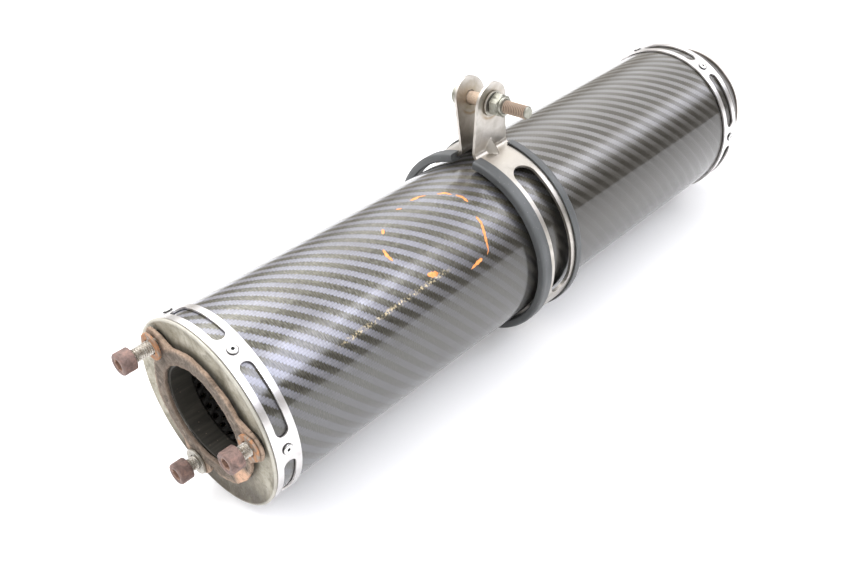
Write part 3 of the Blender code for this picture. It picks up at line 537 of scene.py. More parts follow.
cap_steel = dull_cap()
inlet_outline = eased(
    [
        (23.0, 51.6), (23.0, 53.1), (4.7, 53.1), (4.7, 56.8), (4.3, 57.1), (3.5, 57.05),
        (2.9, 56.4), (2.9, 55.6), (3.3, 54.6), (3.8, 52.0), (4.1, 48.0), (4.2, 44.0),
        (4.2, 31.5), (5.7, 31.5), (5.7, 46.0), (5.8, 48.5), (6.2, 51.0), (7.2, 51.6),
    ],
    0.6, 5,
)
inlet = surface("spun_inlet_cap", turned(inlet_outline, 240), stands_for=["inlet_cap"], finish=cap_steel)

SCREW_ANGLES = (-36.5, 203.5, 83.5)


def screw_line(k):
    """The line of inlet screw k: its foot on the plane x = 0, running forwards out of the can."""
    a = math.radians(SCREW_ANGLES[k])
    out = np.array([0, -math.sin(a), math.cos(a)])
    return out * 45.0, np.array([-1.0, 0, 0]), out, np.cross([-1.0, 0, 0], out)


def drills(name, radius, low, high, steps=40):
    """Three rods on the screws' lines, from low to high in front of the gasket's plane."""
    rod = [(high, 0.0), (high, radius), (low, radius), (low, 0.0)]
    return surface(name, *[turned(rod, steps, screw_line(k)) for k in range(3)])


cut_from(inlet, drills("bush_drill", 6.3, -20, 1))

# ----------------------------------------------------------
# Gas way: the inlet stub, the punched core tube behind it and the flared tailpipe. All are steel
# under soot, brown-black with dry streaks along the flow.
# ----------------------------------------------------------


def sooty_steel():
    """Brown-black soot in dry streaks with a few pale flakes; past the stub, deep in the bore, soot and
    painted shade make it near black.
    """
    f = Finish("sooty_steel")
    streaks = f.grain(2.2, detail=5.0, rough=0.6, stretch=(16, 1, 1))
    flakes = f.spots(3.2)
    colour = f.bands(
        streaks, (0.32, (0.022, 0.020, 0.016)), (0.55, (0.040, 0.036, 0.028)),
        (0.78, (0.075, 0.066, 0.054)),
    )
    colour = f.blend(f.span(flakes, 0.10, 0.04, 0.0, 0.6), colour, (0.32, 0.24, 0.18))
    past_stub = f.span(f.x, 0.012, 0.022)
    # Soot and painted shade: near black past the stub, deep in the bore.
    colour = f.blend(f.times(past_stub, 0.9), colour, (0.010, 0.009, 0.008))
    return f.done(
        colour=colour, metal=f.span(past_stub, 0.0, 1.0, 0.3, 0.0),
        rough=f.calc("MAXIMUM", f.span(streaks, 0.3, 0.7, 0.45, 0.8), past_stub),
        normal=f.relief(streaks, 0.12, f.relief(flakes, 0.05)),
    )


soot = sooty_steel()
stub_outline = eased([(15.5, 29.2), (15.5, 31.2), (2.5, 31.2), (2.5, 29.6)], 0.4, 4)
surface("inlet_stub_pipe", turned(stub_outline, 160), stands_for=["inlet_stub"], finish=soot)


def punched_tube(start, end, radius, around, along, hole):
    """A grid for each cell of a tube; a cell is a square with a round hole in it, and its points
    lie at (1 - s) square + s circle, with s 0 at the square's rim and 1 at the hole's.
    """
    turn = np.linspace(0, math.tau, 13)
    circle = np.stack([np.cos(turn), np.sin(turn)])
    square = circle / np.abs(circle).max(axis=0)
    pitch_x, pitch_a = (end - start) / along, math.tau / around
    share = np.array([0.0, 1.0])[:, None]
    off_x = (1 - share) * square[0] * pitch_x / 2 + share * circle[0] * hole
    off_a = (1 - share) * square[1] * pitch_a / 2 + share * circle[1] * hole / radius
    row, column = np.divmod(np.arange(along * around), around)
    a = ((column + 0.5) * pitch_a)[:, None, None] + off_a
    x = (start + (row + 0.5) * pitch_x)[:, None, None] + off_x
    return round_can(x, radius, a)


core = surface(
    "punched_core", *punched_tube(9.2, 457.5, 32.2, 30, 66, 1.7),
    stands_for=["perforated_core"], finish=soot,
)
wall = core.modifiers.new("wall", "SOLIDIFY")
wall.thickness = 0.0014
wall.offset = 0.0
flare = eased(
    [(471.0, 30.9), (471.0, 32.8), (466.0, 31.2), (446.0, 31.2), (446.0, 29.2), (466.0, 29.2)], 0.6, 4,
)
surface("flared_tailpipe", turned(flare, 160), stands_for=["tailpipe"], finish=soot)

# ----------------------------------------------------------
# Packing: glass wool wound round the core, packed against the sleeve. It is seen through the
# core's holes, yellowed, with brown soot, and near black against the core with soot and painted shade.
# ----------------------------------------------------------


def glass_wool():
    """Yellowed fibres, painted near black with soot and shade where they lie against the core."""
    f = Finish("glass_wool")
    fibres = f.grain(0.9, detail=6.0, rough=0.75, stretch=(6, 1, 1), warp=2.0)
    colour = f.bands(
        fibres, (0.3, (0.16, 0.12, 0.07)), (0.6, (0.42, 0.36, 0.22)), (0.8, (0.66, 0.60, 0.44)),
    )
    # Soot and painted shade: near black on the face against the core, seen through its holes.
    colour = f.blend(f.span(can_radius(f), 0.036, 0.034), colour, (0.008, 0.007, 0.006))
    return f.done(colour=colour, rough=0.95, normal=f.relief(fibres, 0.5))


def wound_wool(inner, outer, start, end, steps=120):
    """A soft annulus whose skin rises and falls by sines of the angle and of x."""
    outline = eased([(end, inner), (end, outer), (start, outer), (start, inner)], 2.0, 6)
    grid = turned(outline, steps)
    a = np.linspace(0, math.tau, steps + 1)[None, :, None]
    swell = 1 + 0.004 * np.sin(9 * a + grid[..., :1] * 0.05) - 0.004
    return np.concatenate([grid[..., :1], grid[..., 1:] * swell], axis=-1)


surface(
    "wound_wool", wound_wool(33.8, 52.2, 24.5, 429.0), stands_for=["glass_wool_packing"],
    finish=glass_wool(),
)

# ----------------------------------------------------------
# Outlet cap: a spun cone past the rear band, rolled over at the lip and turned back in to a disc
# that carries the tailpipe. The outside is painted dark brown as shade, but for a painted highlight on the
# lip's edge.
# ----------------------------------------------------------


def outlet_steel():
    """Steel painted dark brown for its shade, with a painted highlight on the rolled lip; the recess is
    rusty brown.
    """
    f = Finish("outlet_steel")
    radius = can_radius(f)
    marks = f.grain(10, detail=5.0, warp=0.7)
    lines = f.grain(0.4, detail=2.0, stretch=(1, 12, 12))
    inside = f.times(f.span(radius, 0.0425, 0.0412), f.span(f.x, 0.4795, 0.4765))
    # Painted shade: the cone's outside is painted dark brown.
    colour = f.bands(
        marks, (0.3, (0.026, 0.019, 0.015)), (0.55, (0.048, 0.037, 0.029)), (0.8, (0.085, 0.068, 0.056)),
    )
    # Painted highlight: a pale band on the rolled lip's edge.
    colour = f.blend(f.span(f.x, 0.4752, 0.4766, 0.0, 0.9), colour, (0.62, 0.58, 0.54))
    colour = f.blend(inside, colour, f.bands(marks, (0.3, (0.05, 0.035, 0.025)), (0.7, (0.20, 0.14, 0.09))))
    rough = f.calc("ADD", f.span(marks, 0.3, 0.7, 0.46, 0.34), f.times(inside, 0.3))
    metal = f.span(inside, 0.0, 1.0, 1.0, 0.6)
    return f.done(colour=colour, metal=metal, rough=rough, normal=f.relief(lines, 0.01))


roll = np.radians(np.linspace(-90, 130, 16))
lip = np.stack([476.3 + 2.2 * np.cos(roll), 43.4 + 2.2 * np.sin(roll)], axis=-1)
flank = [
    (469.3, 47.3), (461.3, 52.0), (455.7, 55.2), (454.1, 56.3), (453.3, 56.2), (453.3, 53.1),
    (435.0, 53.1), (435.0, 51.6), (453.3, 51.6), (454.4, 53.8), (460.7, 50.4), (468.6, 45.8),
    (472.7, 44.0), (474.2, 43.3), (474.2, 41.3),
]
cone = eased(np.vstack([lip, flank]), 0.8, 4)
cone_steel = outlet_steel()
surface("spun_outlet_cone", turned(cone, 240), stands_for=["outlet_cap"], finish=cone_steel)
cup = eased(
    [
        (473.9, 40.5), (473.9, 42.0), (461.3, 42.0), (458.5, 39.2),
        (458.5, 31.5), (460.0, 31.5), (460.0, 38.5), (462.0, 40.5),
    ],
    1.0, 5,
)
surface("spun_outlet_cup", turned(cup, 200), stands_for=["outlet_cup"], finish=cone_steel)

# ----------------------------------------------------------
# Gasket: a thick ring of rusted fibre and steel with three ears, squeezed, swollen and crumbling
# at its edges. A bite is torn out beside one ear.
# ----------------------------------------------------------


def rim_of_gasket(a):
    """Outer radius in millimetres at the angle a: a ring with an ear at each screw, less the torn
    bite, with a ripple of the crumbled edge.
    """
    rim = 41.0 + 0.35 * np.sin(7 * a + 1.0) + 0.22 * np.sin(17 * a) + 0.12 * np.sin(43 * a + 2.0)
    for ear in np.radians(SCREW_ANGLES):
        off = np.abs((a - ear + math.pi) % math.tau - math.pi) / math.radians(20)
        rim = rim + 13.3 * np.clip(1 - off**2, 0, 1) ** 1.7
    torn = ((a - math.radians(186) + math.pi) % math.tau - math.pi) / math.radians(2.4)
    return rim - 3.4 * np.exp(-(torn**2)) - 0.8 * np.exp(-((torn + 2.6) ** 2))


def crumbling_ring(steps=540):
    """Outline rows go round the section: share s runs from the bore (0) to the rim (1), and x is
    the thickness there, both roughened by ripples of the angle.
    """
    section = [
        (0, 1.5), (0, 0.7), (0.015, 0.25), (0.05, 0.05), (0.2, 0.0), (0.4, 0.02), (0.6, 0.0),
        (0.8, 0.02), (0.95, 0.05), (0.985, 0.25), (1, 0.7), (1, 1.5), (0.985, 1.95), (0.95, 2.15),
        (0.6, 2.2), (0.3, 2.2), (0.05, 2.15), (0.015, 1.95), (0, 1.5),
    ]
    share, x = np.array(section, float).T[:, :, None]
    a = np.linspace(0, math.tau, steps + 1)[None, :]
    bore = 31.0 + 0.25 * np.sin(5 * a) + 0.18 * np.sin(19 * a + 1.3) + 0.10 * np.sin(37 * a)
    radius = bore + share * (rim_of_gasket(a) - bore)
    rough = 0.10 * np.sin(11 * a + 5 * share) * np.sin(23 * a + 9 * share) * (x < 1.0)
    return round_can(x + 0.12 + rough, radius, a)


# The lobe that rubs bare: its middle as (y, z) in millimetres.
RUBBED_LOBE = (-30.0, -29.0)


def rusted_gasket():
    """Brown rust over tan fibre: the outer edge is paler peach, the inner edge is burnt dark."""
    f = Finish("rusted_gasket")
    radius = can_radius(f)
    scale = f.grain(4.5, detail=6.0, rough=0.7, warp=1.2)
    crumbs = f.grain(0.9, detail=5.0, rough=0.75)
    colour = f.bands(
        scale, (0.28, (0.050, 0.037, 0.027)), (0.47, (0.120, 0.094, 0.071)), (0.63, (0.22, 0.175, 0.135)),
        (0.82, (0.38, 0.31, 0.245)),
    )
    colour = f.blend(f.span(crumbs, 0.55, 0.8, 0.0, 0.6), colour, (0.07, 0.04, 0.028))
    # Paler peach towards the outer edge.
    pale_patch = f.times(f.span(radius, 0.0385, 0.041), f.span(scale, 0.35, 0.6, 0.2, 0.75))
    colour = f.blend(pale_patch, colour, (0.52, 0.37, 0.27))
    colour = f.blend(f.span(radius, 0.0335, 0.0312, 0.0, 0.55), colour, (0.20, 0.14, 0.10))
    lobe = f.away(0, *RUBBED_LOBE, (0, 1, 1))
    peach = f.times(f.span(lobe, 0.0125, 0.0070), f.span(scale, 0.30, 0.50, 0.35, 0.9))
    colour = f.blend(peach, colour, (0.68, 0.42, 0.28))
    return f.done(
        colour=colour, metal=0.0, rough=0.85,
        normal=f.relief(f.calc("MULTIPLY_ADD", crumbs, 0.5, scale), 0.55),
    )


gasket = surface("torn_gasket", crumbling_ring(), stands_for=["inlet_gasket"], finish=rusted_gasket())
cut_from(gasket, drills("gasket_drill", 4.4, -4, 1))

# ----------------------------------------------------------
# Inlet screws: socket-head cap screws, their heads deep brown with rust and their shanks grey
# zinc with rolled threads. Each has a plain washer, two of them orange with rust.
# ----------------------------------------------------------


def hexagon(a):
    """Ratio of a hexagon's radius to its corner's: cos 30 / cos(a mod 60 - 30)."""
    return math.cos(math.pi / 6) / np.cos(a % (math.pi / 3) - math.pi / 6)


def shaped(outline, parts, steps, line):
    """A turned grid whose points are round where the part is 0 and hexagonal where it is 1."""
    part = np.asarray(parts, float)[:, None]
    return turned(outline, steps, line, lambda a: 1 - part + part * hexagon(a))


def cap_head(line, height, socket_depth=4.2):
    """A cap screw's head with its seat at the height: plain round side, chamfered rim, hex socket."""
    h, floor = height, height + 8.0 - socket_depth
    round_part = [
        (h, 3.7), (h, 6.2), (h + 0.25, 6.45), (h + 7.2, 6.5), (h + 7.75, 6.1), (h + 8.0, 5.6),
        (h + 8.0, 4.1), (h + 7.7, 3.65),
    ]
    hex_part = [(h + 7.5, 3.46), (floor + 0.2, 3.46), (floor, 3.2), (floor - 0.4, 0.0)]
    return shaped(round_part + hex_part, [0] * 8 + [1] * 4, 96, line)


def threaded_shank(line, tip, seat, radius=4.0, pitch=1.25, depth=0.62, smooth=0.0, steps=48):
    """A closed shank from its tip to its seat. With w the distance of (h / pitch - a / 360) from
    its nearest whole number, the radius is r - depth (1 - 2w), cut off flat at the root and crest.
    """
    rows = int((seat - tip) / pitch * 8)
    h = np.linspace(tip, seat, rows)[:, None]
    a = np.linspace(0, math.tau, steps + 1)[None, :]
    turn = h / pitch - a / math.tau
    w = np.abs(turn - np.round(turn)) * 2
    groove = depth * np.clip((1 - w) * 1.25 - 0.12, 0, 1)
    fade = np.clip((h - tip) / 0.8, 0, 1) * np.where(h > seat - smooth, 0, 1)
    taper = 0.75 * np.clip(1 - (h - tip) / 0.8, 0, 1)
    r = radius - groove * fade - taper
    origin, along, u, v = line
    skin = origin + along * h[..., None] * np.ones_like(a)[..., None] + (
        u * np.cos(a)[..., None] + v * np.sin(a)[..., None]
    ) * r[..., None]
    row = np.ones((1, steps + 1, 1))
    return np.concatenate([(origin + along * tip) * row, skin, (origin + along * seat) * row], axis=0)


def rusty_screw(name, k, head, tip):
    """Brown-violet rust on the head, paler dust in the socket; the shank keeps its grey zinc."""
    f = Finish(name)
    o = screw_line(k)[0]
    off = f.away(0, o[1], o[2], (0, 1, 1))
    coarse = f.grain(3.2, detail=6.0, rough=0.65, warp=0.6, shift=k)
    pits = f.grain(0.6, detail=5.0, rough=0.8)
    rust = f.bands(
        coarse, (0.25, (0.085, 0.055, 0.045)), (0.45, (0.17, 0.115, 0.10)), (0.62, (0.27, 0.17, 0.14)),
        (0.82, (0.42, 0.24, 0.16)),
    )
    rust = f.blend(f.span(pits, 0.5, 0.8, 0.0, 0.65), rust, (0.075, 0.045, 0.035))
    deep = f.span(f.x, 0.001 * head + 0.0078, 0.001 * head + 0.0068)
    socket = f.times(f.span(off, 0.0037, 0.0034), deep)
    rust = f.blend(f.times(socket, 0.75), rust, (0.36, 0.23, 0.17))
    zinc = f.bands(coarse, (0.3, (0.25, 0.20, 0.15)), (0.5, (0.48, 0.45, 0.40)), (0.75, (0.68, 0.66, 0.61)))
    bare = f.times(f.span(off, 0.0044, 0.0041), f.span(f.x, 0.001 * tip - 0.001, 0.001 * tip))
    return f.done(
        colour=f.blend(bare, rust, zinc), metal=f.span(bare, 0.0, 1.0, 0.25, 0.9),
        rough=f.span(bare, 0.0, 1.0, 0.62, 0.34),
        normal=f.relief(f.calc("MULTIPLY_ADD", pits, 0.6, coarse), 0.16),
    )


def washer_finish(name, rust_share, shift):
    """Dull zinc giving way to orange rust where the cloud is high, sooner with more rust share."""
    f = Finish(name)
    cloud = f.grain(4.5, detail=6.0, rough=0.65, warp=0.8, shift=shift)
    pits = f.grain(0.7, detail=5.0, rough=0.75)
    zinc = f.bands(cloud, (0.3, (0.24, 0.21, 0.17)), (0.55, (0.42, 0.40, 0.35)), (0.8, (0.60, 0.58, 0.52)))
    rust = f.bands(
        cloud, (0.25, (0.13, 0.065, 0.035)), (0.5, (0.36, 0.17, 0.08)), (0.75, (0.60, 0.33, 0.17)),
    )
    share = f.span(f.calc("ADD", cloud, rust_share), 0.72, 0.92)
    return f.done(
        colour=f.blend(share, zinc, rust), metal=f.span(share, 0.0, 1.0, 0.8, 0.15),
        rough=f.span(share, 0.0, 1.0, 0.38, 0.78),
        normal=f.relief(f.calc("MULTIPLY_ADD", pits, 0.6, cloud), 0.18),
    )


def washer_grid(line, back, radius, hole, thickness):
    """A flat ring on a line, from its back face forwards, with eased edges."""
    outline = [(back + thickness, hole), (back + thickness, radius), (back, radius), (back, hole)]
    return turned(eased(outline, 0.35, 4), 72, line)


# Each screw's seat and its washer's back, in millimetres in front of the gasket's plane, and how
# rusty the washer is.
seats, backs, washer_rust = (14.5, 7.0, 7.8), (1.8, 0.3, 0.3), (0.42, 0.05, 0.36)
for k, (seat, back, rust_share) in enumerate(zip(seats, backs, washer_rust)):
    line = screw_line(k)
    surface(
        f"cap_screw_{k + 1}", cap_head(line, seat), threaded_shank(line, seat - 25, seat + 0.4),
        body=f"flange_screw_{k + 1}", stands_for=[f"flange_screw_{k + 1}"],
        finish=rusty_screw(f"rusty_screw_{k + 1}", k, -seat - 8, -seat),
    )
    surface(
        f"screw_washer_{k + 1}", washer_grid(line, back, 8.0, 4.35, 1.6),
        stands_for=[f"flange_washer_{k + 1}"],
        finish=washer_finish(f"screw_washer_{k + 1}", rust_share, k),
    )

# ----------------------------------------------------------
# Clamp strap: one polished stainless strip bent round the can, its two ends folded up as ears.
# Each side has a long slot, each fold a pressed corner stiffener, each ear a bolt hole.
# ----------------------------------------------------------
# In millimetres: the strip's middle along the can, the bolt's height, the strip's middle radius
# and half its width, and the gap between the ears' feet.
CLAMP_X = 232.4
BOLT_Z = 92.8
STRAP_RADIUS = 60.1
STRAP_HALF_WIDTH = 15.0
STRAP_THICKNESS = 1.8
EAR_HALF_GAP = 3.9
EAR_TOP = 106.0
EAR_LEAN = math.radians(6.2)
# The side slot: its middle, half its length and half its width, in millimetres round the strip.
SIDE_SLOT = (STRAP_RADIUS * math.radians(70.0), STRAP_RADIUS * math.radians(44.0), 8.5)


def strap_line():
    """The strip's middle line as (y, z): the far ear, its fold, the ring, then the near fold and
    ear. The fold is an arc that touches both the ear's line and the ring.
    """
    bend = 4.6
    normal = np.array([math.cos(EAR_LEAN), -math.sin(EAR_LEAN)])
    foot = np.array([EAR_HALF_GAP + STRAP_THICKNESS / 2, STRAP_RADIUS])
    orbit = STRAP_RADIUS + bend
    swing = math.acos((foot @ normal + bend) / orbit)
    tilt = math.atan2(normal[1], normal[0])
    centre = orbit * np.array([math.cos(tilt + swing), math.sin(tilt + swing)])
    touch = centre - bend * normal
    slope = np.array([math.sin(EAR_LEAN), math.cos(EAR_LEAN)])
    ear = touch + slope * np.linspace((EAR_TOP - touch[1]) / slope[1], 0, 40)[:, None]
    first = math.atan2(-normal[1], -normal[0]) % math.tau
    last = math.atan2(-centre[1], -centre[0]) % math.tau
    turn = np.linspace(first, last, 16)[1:-1]
    fold = centre + bend * np.stack([np.cos(turn), np.sin(turn)], axis=-1)
    first = STRAP_RADIUS * math.atan2(centre[0], centre[1])
    even = np.linspace(first, STRAP_RADIUS * math.pi, 121)
    ring_angle = with_slot_ends(even, SIDE_SLOT[:1], *SIDE_SLOT[1:]) / STRAP_RADIUS
    ring = STRAP_RADIUS * np.stack([np.sin(ring_angle), np.cos(ring_angle)], axis=-1)
    half = np.vstack([ear, fold, ring])
    return np.vstack([half, half[-2::-1] * [-1, 1]])


def strap_sides(columns=31):
    """The strip's two sides: line points by places from the slot to the edge. At each fold a
    stiffener is pressed out: with t the way along the fold and w the distance from the strip's
    middle, the points move towards the straight line from apex to toe by 1 - |w| / (4.2 sin pi t).
    """
    path = strap_line()
    far = path[:, 0] > 0
    z, a = path[:, 1], np.degrees(np.arctan2(np.abs(path[:, 0]), path[:, 1]))
    inside = (z < 69.4) & (a < 12.6) & (z > 0)
    on_ring = np.abs(np.hypot(path[:, 0], path[:, 1]) - STRAP_RADIUS) < 0.01
    slot = slot_width(STRAP_RADIUS * np.radians(a), SIDE_SLOT[:1], *SIDE_SLOT[1:]) * on_ring
    share = np.linspace(0, 1, columns)[None, :]
    width = slot[:, None] + share * (STRAP_HALF_WIDTH - slot[:, None])
    points = path[:, None, :] * np.ones((1, columns, 1))
    for side in (True, False):
        rows = np.flatnonzero(inside & (far == side))
        apex, toe = path[rows[0]], path[rows[-1]]
        step = np.linalg.norm(np.diff(path[rows], axis=0), axis=1)
        t = np.concatenate([[0], np.cumsum(step)]) / step.sum()
        chord = apex + (toe - apex) * t[:, None]
        reach = 4.2 * np.sin(math.pi * np.clip(t, 0.03, 0.97))
        press = np.clip(1.0 - width[rows] / reach[:, None], 0, 1)
        points[rows] += (chord - path[rows])[:, None, :] * press[..., None]
    for side in (-1, 1):
        yield np.concatenate([(CLAMP_X + side * width)[..., None], points], axis=-1)


def capped(grid):
    """The grid with its first and last columns each drawn in to their own mean, to close a prism."""
    first = np.broadcast_to(grid[:-1, :1].mean(axis=0, keepdims=True), grid[:, :1].shape)
    last = np.broadcast_to(grid[:-1, -1:].mean(axis=0, keepdims=True), grid[:, :1].shape)
    return np.concatenate([first, grid, last], axis=1)


def ear_waste():
    """A closed block, along y, of what is trimmed off beside and above the ears' round heads."""
    turn = np.linspace(math.pi, 0, 41)
    foot = STRAP_RADIUS + STRAP_THICKNESS

    def arched(head, base):
        """An arch of the head's radius over the bolt, standing on feet that far from the middle."""
        bow = np.stack([CLAMP_X + head * np.cos(turn), EAR_TOP - 13.0 + head * np.sin(turn)], axis=-1)
        return np.vstack([[(CLAMP_X - base, foot)], bow, [(CLAMP_X + base, foot)]])

    arch, outer = arched(13.0, STRAP_HALF_WIDTH + 0.1), arched(34.0, 34.0)
    y = np.array([-30.0, -30, 30, 30, -30])[:, None]
    edge = np.stack([arch, outer, outer, arch, arch])
    return capped(np.stack([edge[..., 0], y * np.ones(len(arch)), edge[..., 1]], axis=-1))


def clamp_steel():
    """Polished strip: warm water stains, rust creeping out from under the washer and down the ear, a
    painted shadow below the washer's edge and painted shade in the folds.
    """
    f = Finish("clamp_steel")
    marks = f.grain(8, detail=5.0, rough=0.6, warp=0.8)
    lines = f.grain(0.4, detail=2.0, stretch=(12, 1, 1))
    colour = f.bands(
        marks, (0.3, (0.4, 0.375, 0.333)), (0.55, (0.496, 0.466, 0.426)), (0.8, (0.576, 0.553, 0.519)),
    )
    bolt = f.away(CLAMP_X, 0, BOLT_Z, (1, 0, 1))
    bleed = f.span(f.calc("MULTIPLY_ADD", f.grain(3.0, detail=5.0), 0.006, bolt), 0.0150, 0.0085)
    # Painted shadow: a rust-brown crescent on the ear just below the washer's edge.
    ring = f.times(f.span(bolt, 0.0086, 0.0094), f.span(bolt, 0.0112, 0.0098))
    low = f.span(f.z, BOLT_Z * 0.001 - 0.003, BOLT_Z * 0.001 - 0.008)
    colour = f.blend(f.times(bleed, 0.45), colour, (0.368, 0.284, 0.155))
    colour = f.blend(f.times(f.times(ring, low), 0.55), colour, (0.272, 0.182, 0.093))
    # Painted shade: the folds and the strap's top beside them are darkened, mottled warm.
    fold_shade = f.times(f.span(f.z, 0.0700, 0.0630), f.span(marks, 0.45, 0.65, 0.1, 0.5))
    colour = f.blend(f.times(fold_shade, f.span(f.z, 0.055, 0.060)), colour, (0.24, 0.198, 0.132))
    rough = f.calc("ADD", f.span(marks, 0.3, 0.7, 0.42, 0.30), f.times(bleed, 0.15))
    return f.done(colour=colour, metal=1.0, rough=rough, normal=f.relief(lines, 0.008))


strap_steel = clamp_steel()
strap = surface(
    "clamp_strip", *strap_sides(), body="clamp", stands_for=["clamp_strap"], finish=strap_steel
)
sheet_thickness(strap, STRAP_THICKNESS)
bolt_middle, sideways, upwards, rearwards = np.array(
    [[CLAMP_X, 0, BOLT_Z], [0, -1, 0], [0, 0, 1], [1, 0, 0]], float
)
bolt_line = (bolt_middle, sideways, upwards, -rearwards)
drill_rod = [(30, 0.0), (30, 4.6), (-30, 4.6), (-30, 0.0)]
bolt_drill = surface("bolt_drill", turned(drill_rod, 48, bolt_line))
cut_from(strap, surface("ear_shears", ear_waste()), bolt_drill)
soften(strap, 0.25)

# ----------------------------------------------------------
# Edge trims: moulded grey rubber channels pushed on to both edges of the strip, which keep it off
# the sleeve. They stop short of the ears, where they were cut with a knife.
# ----------------------------------------------------------


def grey_rubber():
    """Grey rubber with a faint paler bloom and dust caught on it."""
    f = Finish("grey_rubber")
    bloom = f.grain(14, detail=4.0, stretch=(1, 3, 3), warp=0.5)
    skin = f.grain(0.5, detail=4.0, rough=0.7)
    dust = f.spots(2.6)
    colour = f.bands(
        bloom, (0.3, (0.055, 0.058, 0.059)), (0.55, (0.083, 0.087, 0.088)), (0.8, (0.115, 0.119, 0.119)),
    )
    colour = f.blend(f.span(dust, 0.12, 0.05, 0.0, 0.5), colour, (0.33, 0.32, 0.29))
    return f.done(colour=colour, rough=f.span(bloom, 0.3, 0.7, 0.52, 0.40), normal=f.relief(skin, 0.03))


def trim_grid(edge, inward, web, steps=220):
    """A channel section swept round the strap from one cut end to the other; its section's points
    are (distance in from the outer side, radius), and both ends close on the section's middle.
    """
    section = eased(
        [
            (0.0, 56.95), (0.0, 62.4), (web + 2.7, 62.4), (web + 2.7, 61.3),
            (web, 61.3), (web, 58.9), (web + 2.7, 58.9), (web + 2.7, 56.95),
        ],
        [1.3, 2.0, 0.5, 0.3, 0.2, 0.2, 0.3, 0.5], 7,
    )
    depth, radius = section.T
    middle = np.array([[web * 0.5, 60.0]]).T * np.ones(len(depth))
    a = np.radians(np.concatenate([[8.4], np.linspace(8.4, 351.6, steps), [351.6]]))[:, None]
    sag = 0.10 * np.sin(9 * a + 1) + 0.06 * np.sin(23 * a)
    depth = np.vstack([middle[:1], np.broadcast_to(depth, (steps, len(depth))), middle[:1]])
    radius = np.vstack([middle[1:], np.broadcast_to(radius, (steps, len(radius))), middle[1:]])
    radius = radius - np.abs(sag) * 0.5
    x = edge - inward * (web + 0.3) + inward * depth + sag * 0.3 * (depth < web - 0.3)
    return round_can(x, radius, a)


trim_rubber = grey_rubber()
for end, inward, web in (("front", 1, 5.3), ("rear", -1, 3.2)):
    surface(
        f"edge_trim_{end}", trim_grid(CLAMP_X - inward * STRAP_HALF_WIDTH, inward, web),
        body="clamp", stands_for=[f"clamp_trim_{end}"], finish=trim_rubber,
    )

# ----------------------------------------------------------
# Clamp bolt, washer and lock nut: zinc-plated, gone grey-green and rusty. The bolt's threads are
# brown with rust; the nut has a round collar that holds its nylon ring.
# ----------------------------------------------------------


def old_zinc(name, shift, rust_from=None):
    """Grey-green zinc, spotted with rust. With rust_from, the y in metres beyond which rust is
    solid, the threads' roots are painted dark as shade and the shank between the ears rusts too.
    """
    f = Finish(name)
    cloud = f.grain(3.4, detail=6.0, rough=0.65, warp=0.7, shift=shift)
    pits = f.grain(0.55, detail=5.0, rough=0.75)
    zinc = f.bands(
        cloud, (0.3, (0.19, 0.185, 0.15)), (0.55, (0.31, 0.305, 0.26)), (0.8, (0.44, 0.435, 0.39)),
    )
    rust = f.bands(pits, (0.3, (0.30, 0.21, 0.14)), (0.5, (0.50, 0.38, 0.28)), (0.75, (0.70, 0.58, 0.47)))
    share = f.span(cloud, 0.62, 0.78, 0.0, 0.7)
    if rust_from is not None:
        bare_end = f.span(f.y, -0.0370, -0.0362)
        stud = f.times(f.span(f.y, rust_from, rust_from - 0.002), bare_end)
        between = f.span(f.calc("ABSOLUTE", f.y), 0.0095, 0.0070)
        between = f.times(between, f.span(cloud, 0.3, 0.5, 0.5, 1.0))
        share = f.calc("MAXIMUM", f.calc("MAXIMUM", share, stud), between)
        # Painted shade in the thread roots.
        thread_root_shade = f.span(f.away(CLAMP_X, 0, BOLT_Z, (1, 0, 1)), 0.0039, 0.0035)
        rust = f.blend(thread_root_shade, rust, (0.07, 0.042, 0.028))
    return f.done(
        colour=f.blend(share, zinc, rust), metal=f.span(share, 0.0, 1.0, 0.85, 0.15),
        rough=f.span(share, 0.0, 1.0, 0.36, 0.75),
        normal=f.relief(f.calc("MULTIPLY_ADD", pits, 0.5, cloud), 0.10),
    )


bolt_up = (bolt_middle, -sideways, upwards, rearwards)
surface(
    "clamp_cap_bolt", cap_head(bolt_up, 10.3), threaded_shank(bolt_up, -37.7, 10.5, smooth=18.0),
    body="clamp", stands_for=["clamp_bolt"], finish=old_zinc("bolt_zinc", 3.0, rust_from=-0.019),
)
ear_face = EAR_HALF_GAP + STRAP_THICKNESS + (BOLT_Z - STRAP_RADIUS) * math.tan(EAR_LEAN) + 0.3
flush = np.array([0, -math.cos(EAR_LEAN), -math.sin(EAR_LEAN)])
flush_line = (np.array([CLAMP_X, -ear_face, BOLT_Z]), flush, rearwards, np.cross(flush, rearwards))
surface(
    "ear_washer", washer_grid(flush_line, 0.0, 8.0, 4.35, 1.5),
    body="clamp_washer", stands_for=["clamp_washer"], finish=washer_finish("ear_washer", 0.08, 7.0),
)
nut_outline = [
    (12.3, 4.35), (12.3, 6.3), (12.75, 7.5), (18.0, 7.5), (18.6, 6.4), (18.7, 5.95), (19.7, 5.9),
    (20.2, 5.4), (20.3, 4.7), (20.2, 4.35),
]
nut_grid = shaped(nut_outline, [0, 0, 1, 1, 0, 0, 0, 0, 0, 0], 96, bolt_line)
surface(
    "lock_nut", np.concatenate([nut_grid, nut_grid[:1]], axis=0), body="clamp_nut",
    stands_for=["clamp_nut"], finish=old_zinc("nut_zinc", 5.0), sharp=0.45,
)

# ----------------------------------------------------------
# Threaded bushes behind the gasket's ears: plain turned steel, sooty like the gas way.
# ----------------------------------------------------------
for k in range(3):
    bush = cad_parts[f"flange_bush_{k + 1}"]
    bush.data.materials.clear()
    bush.data.materials.append(soot)

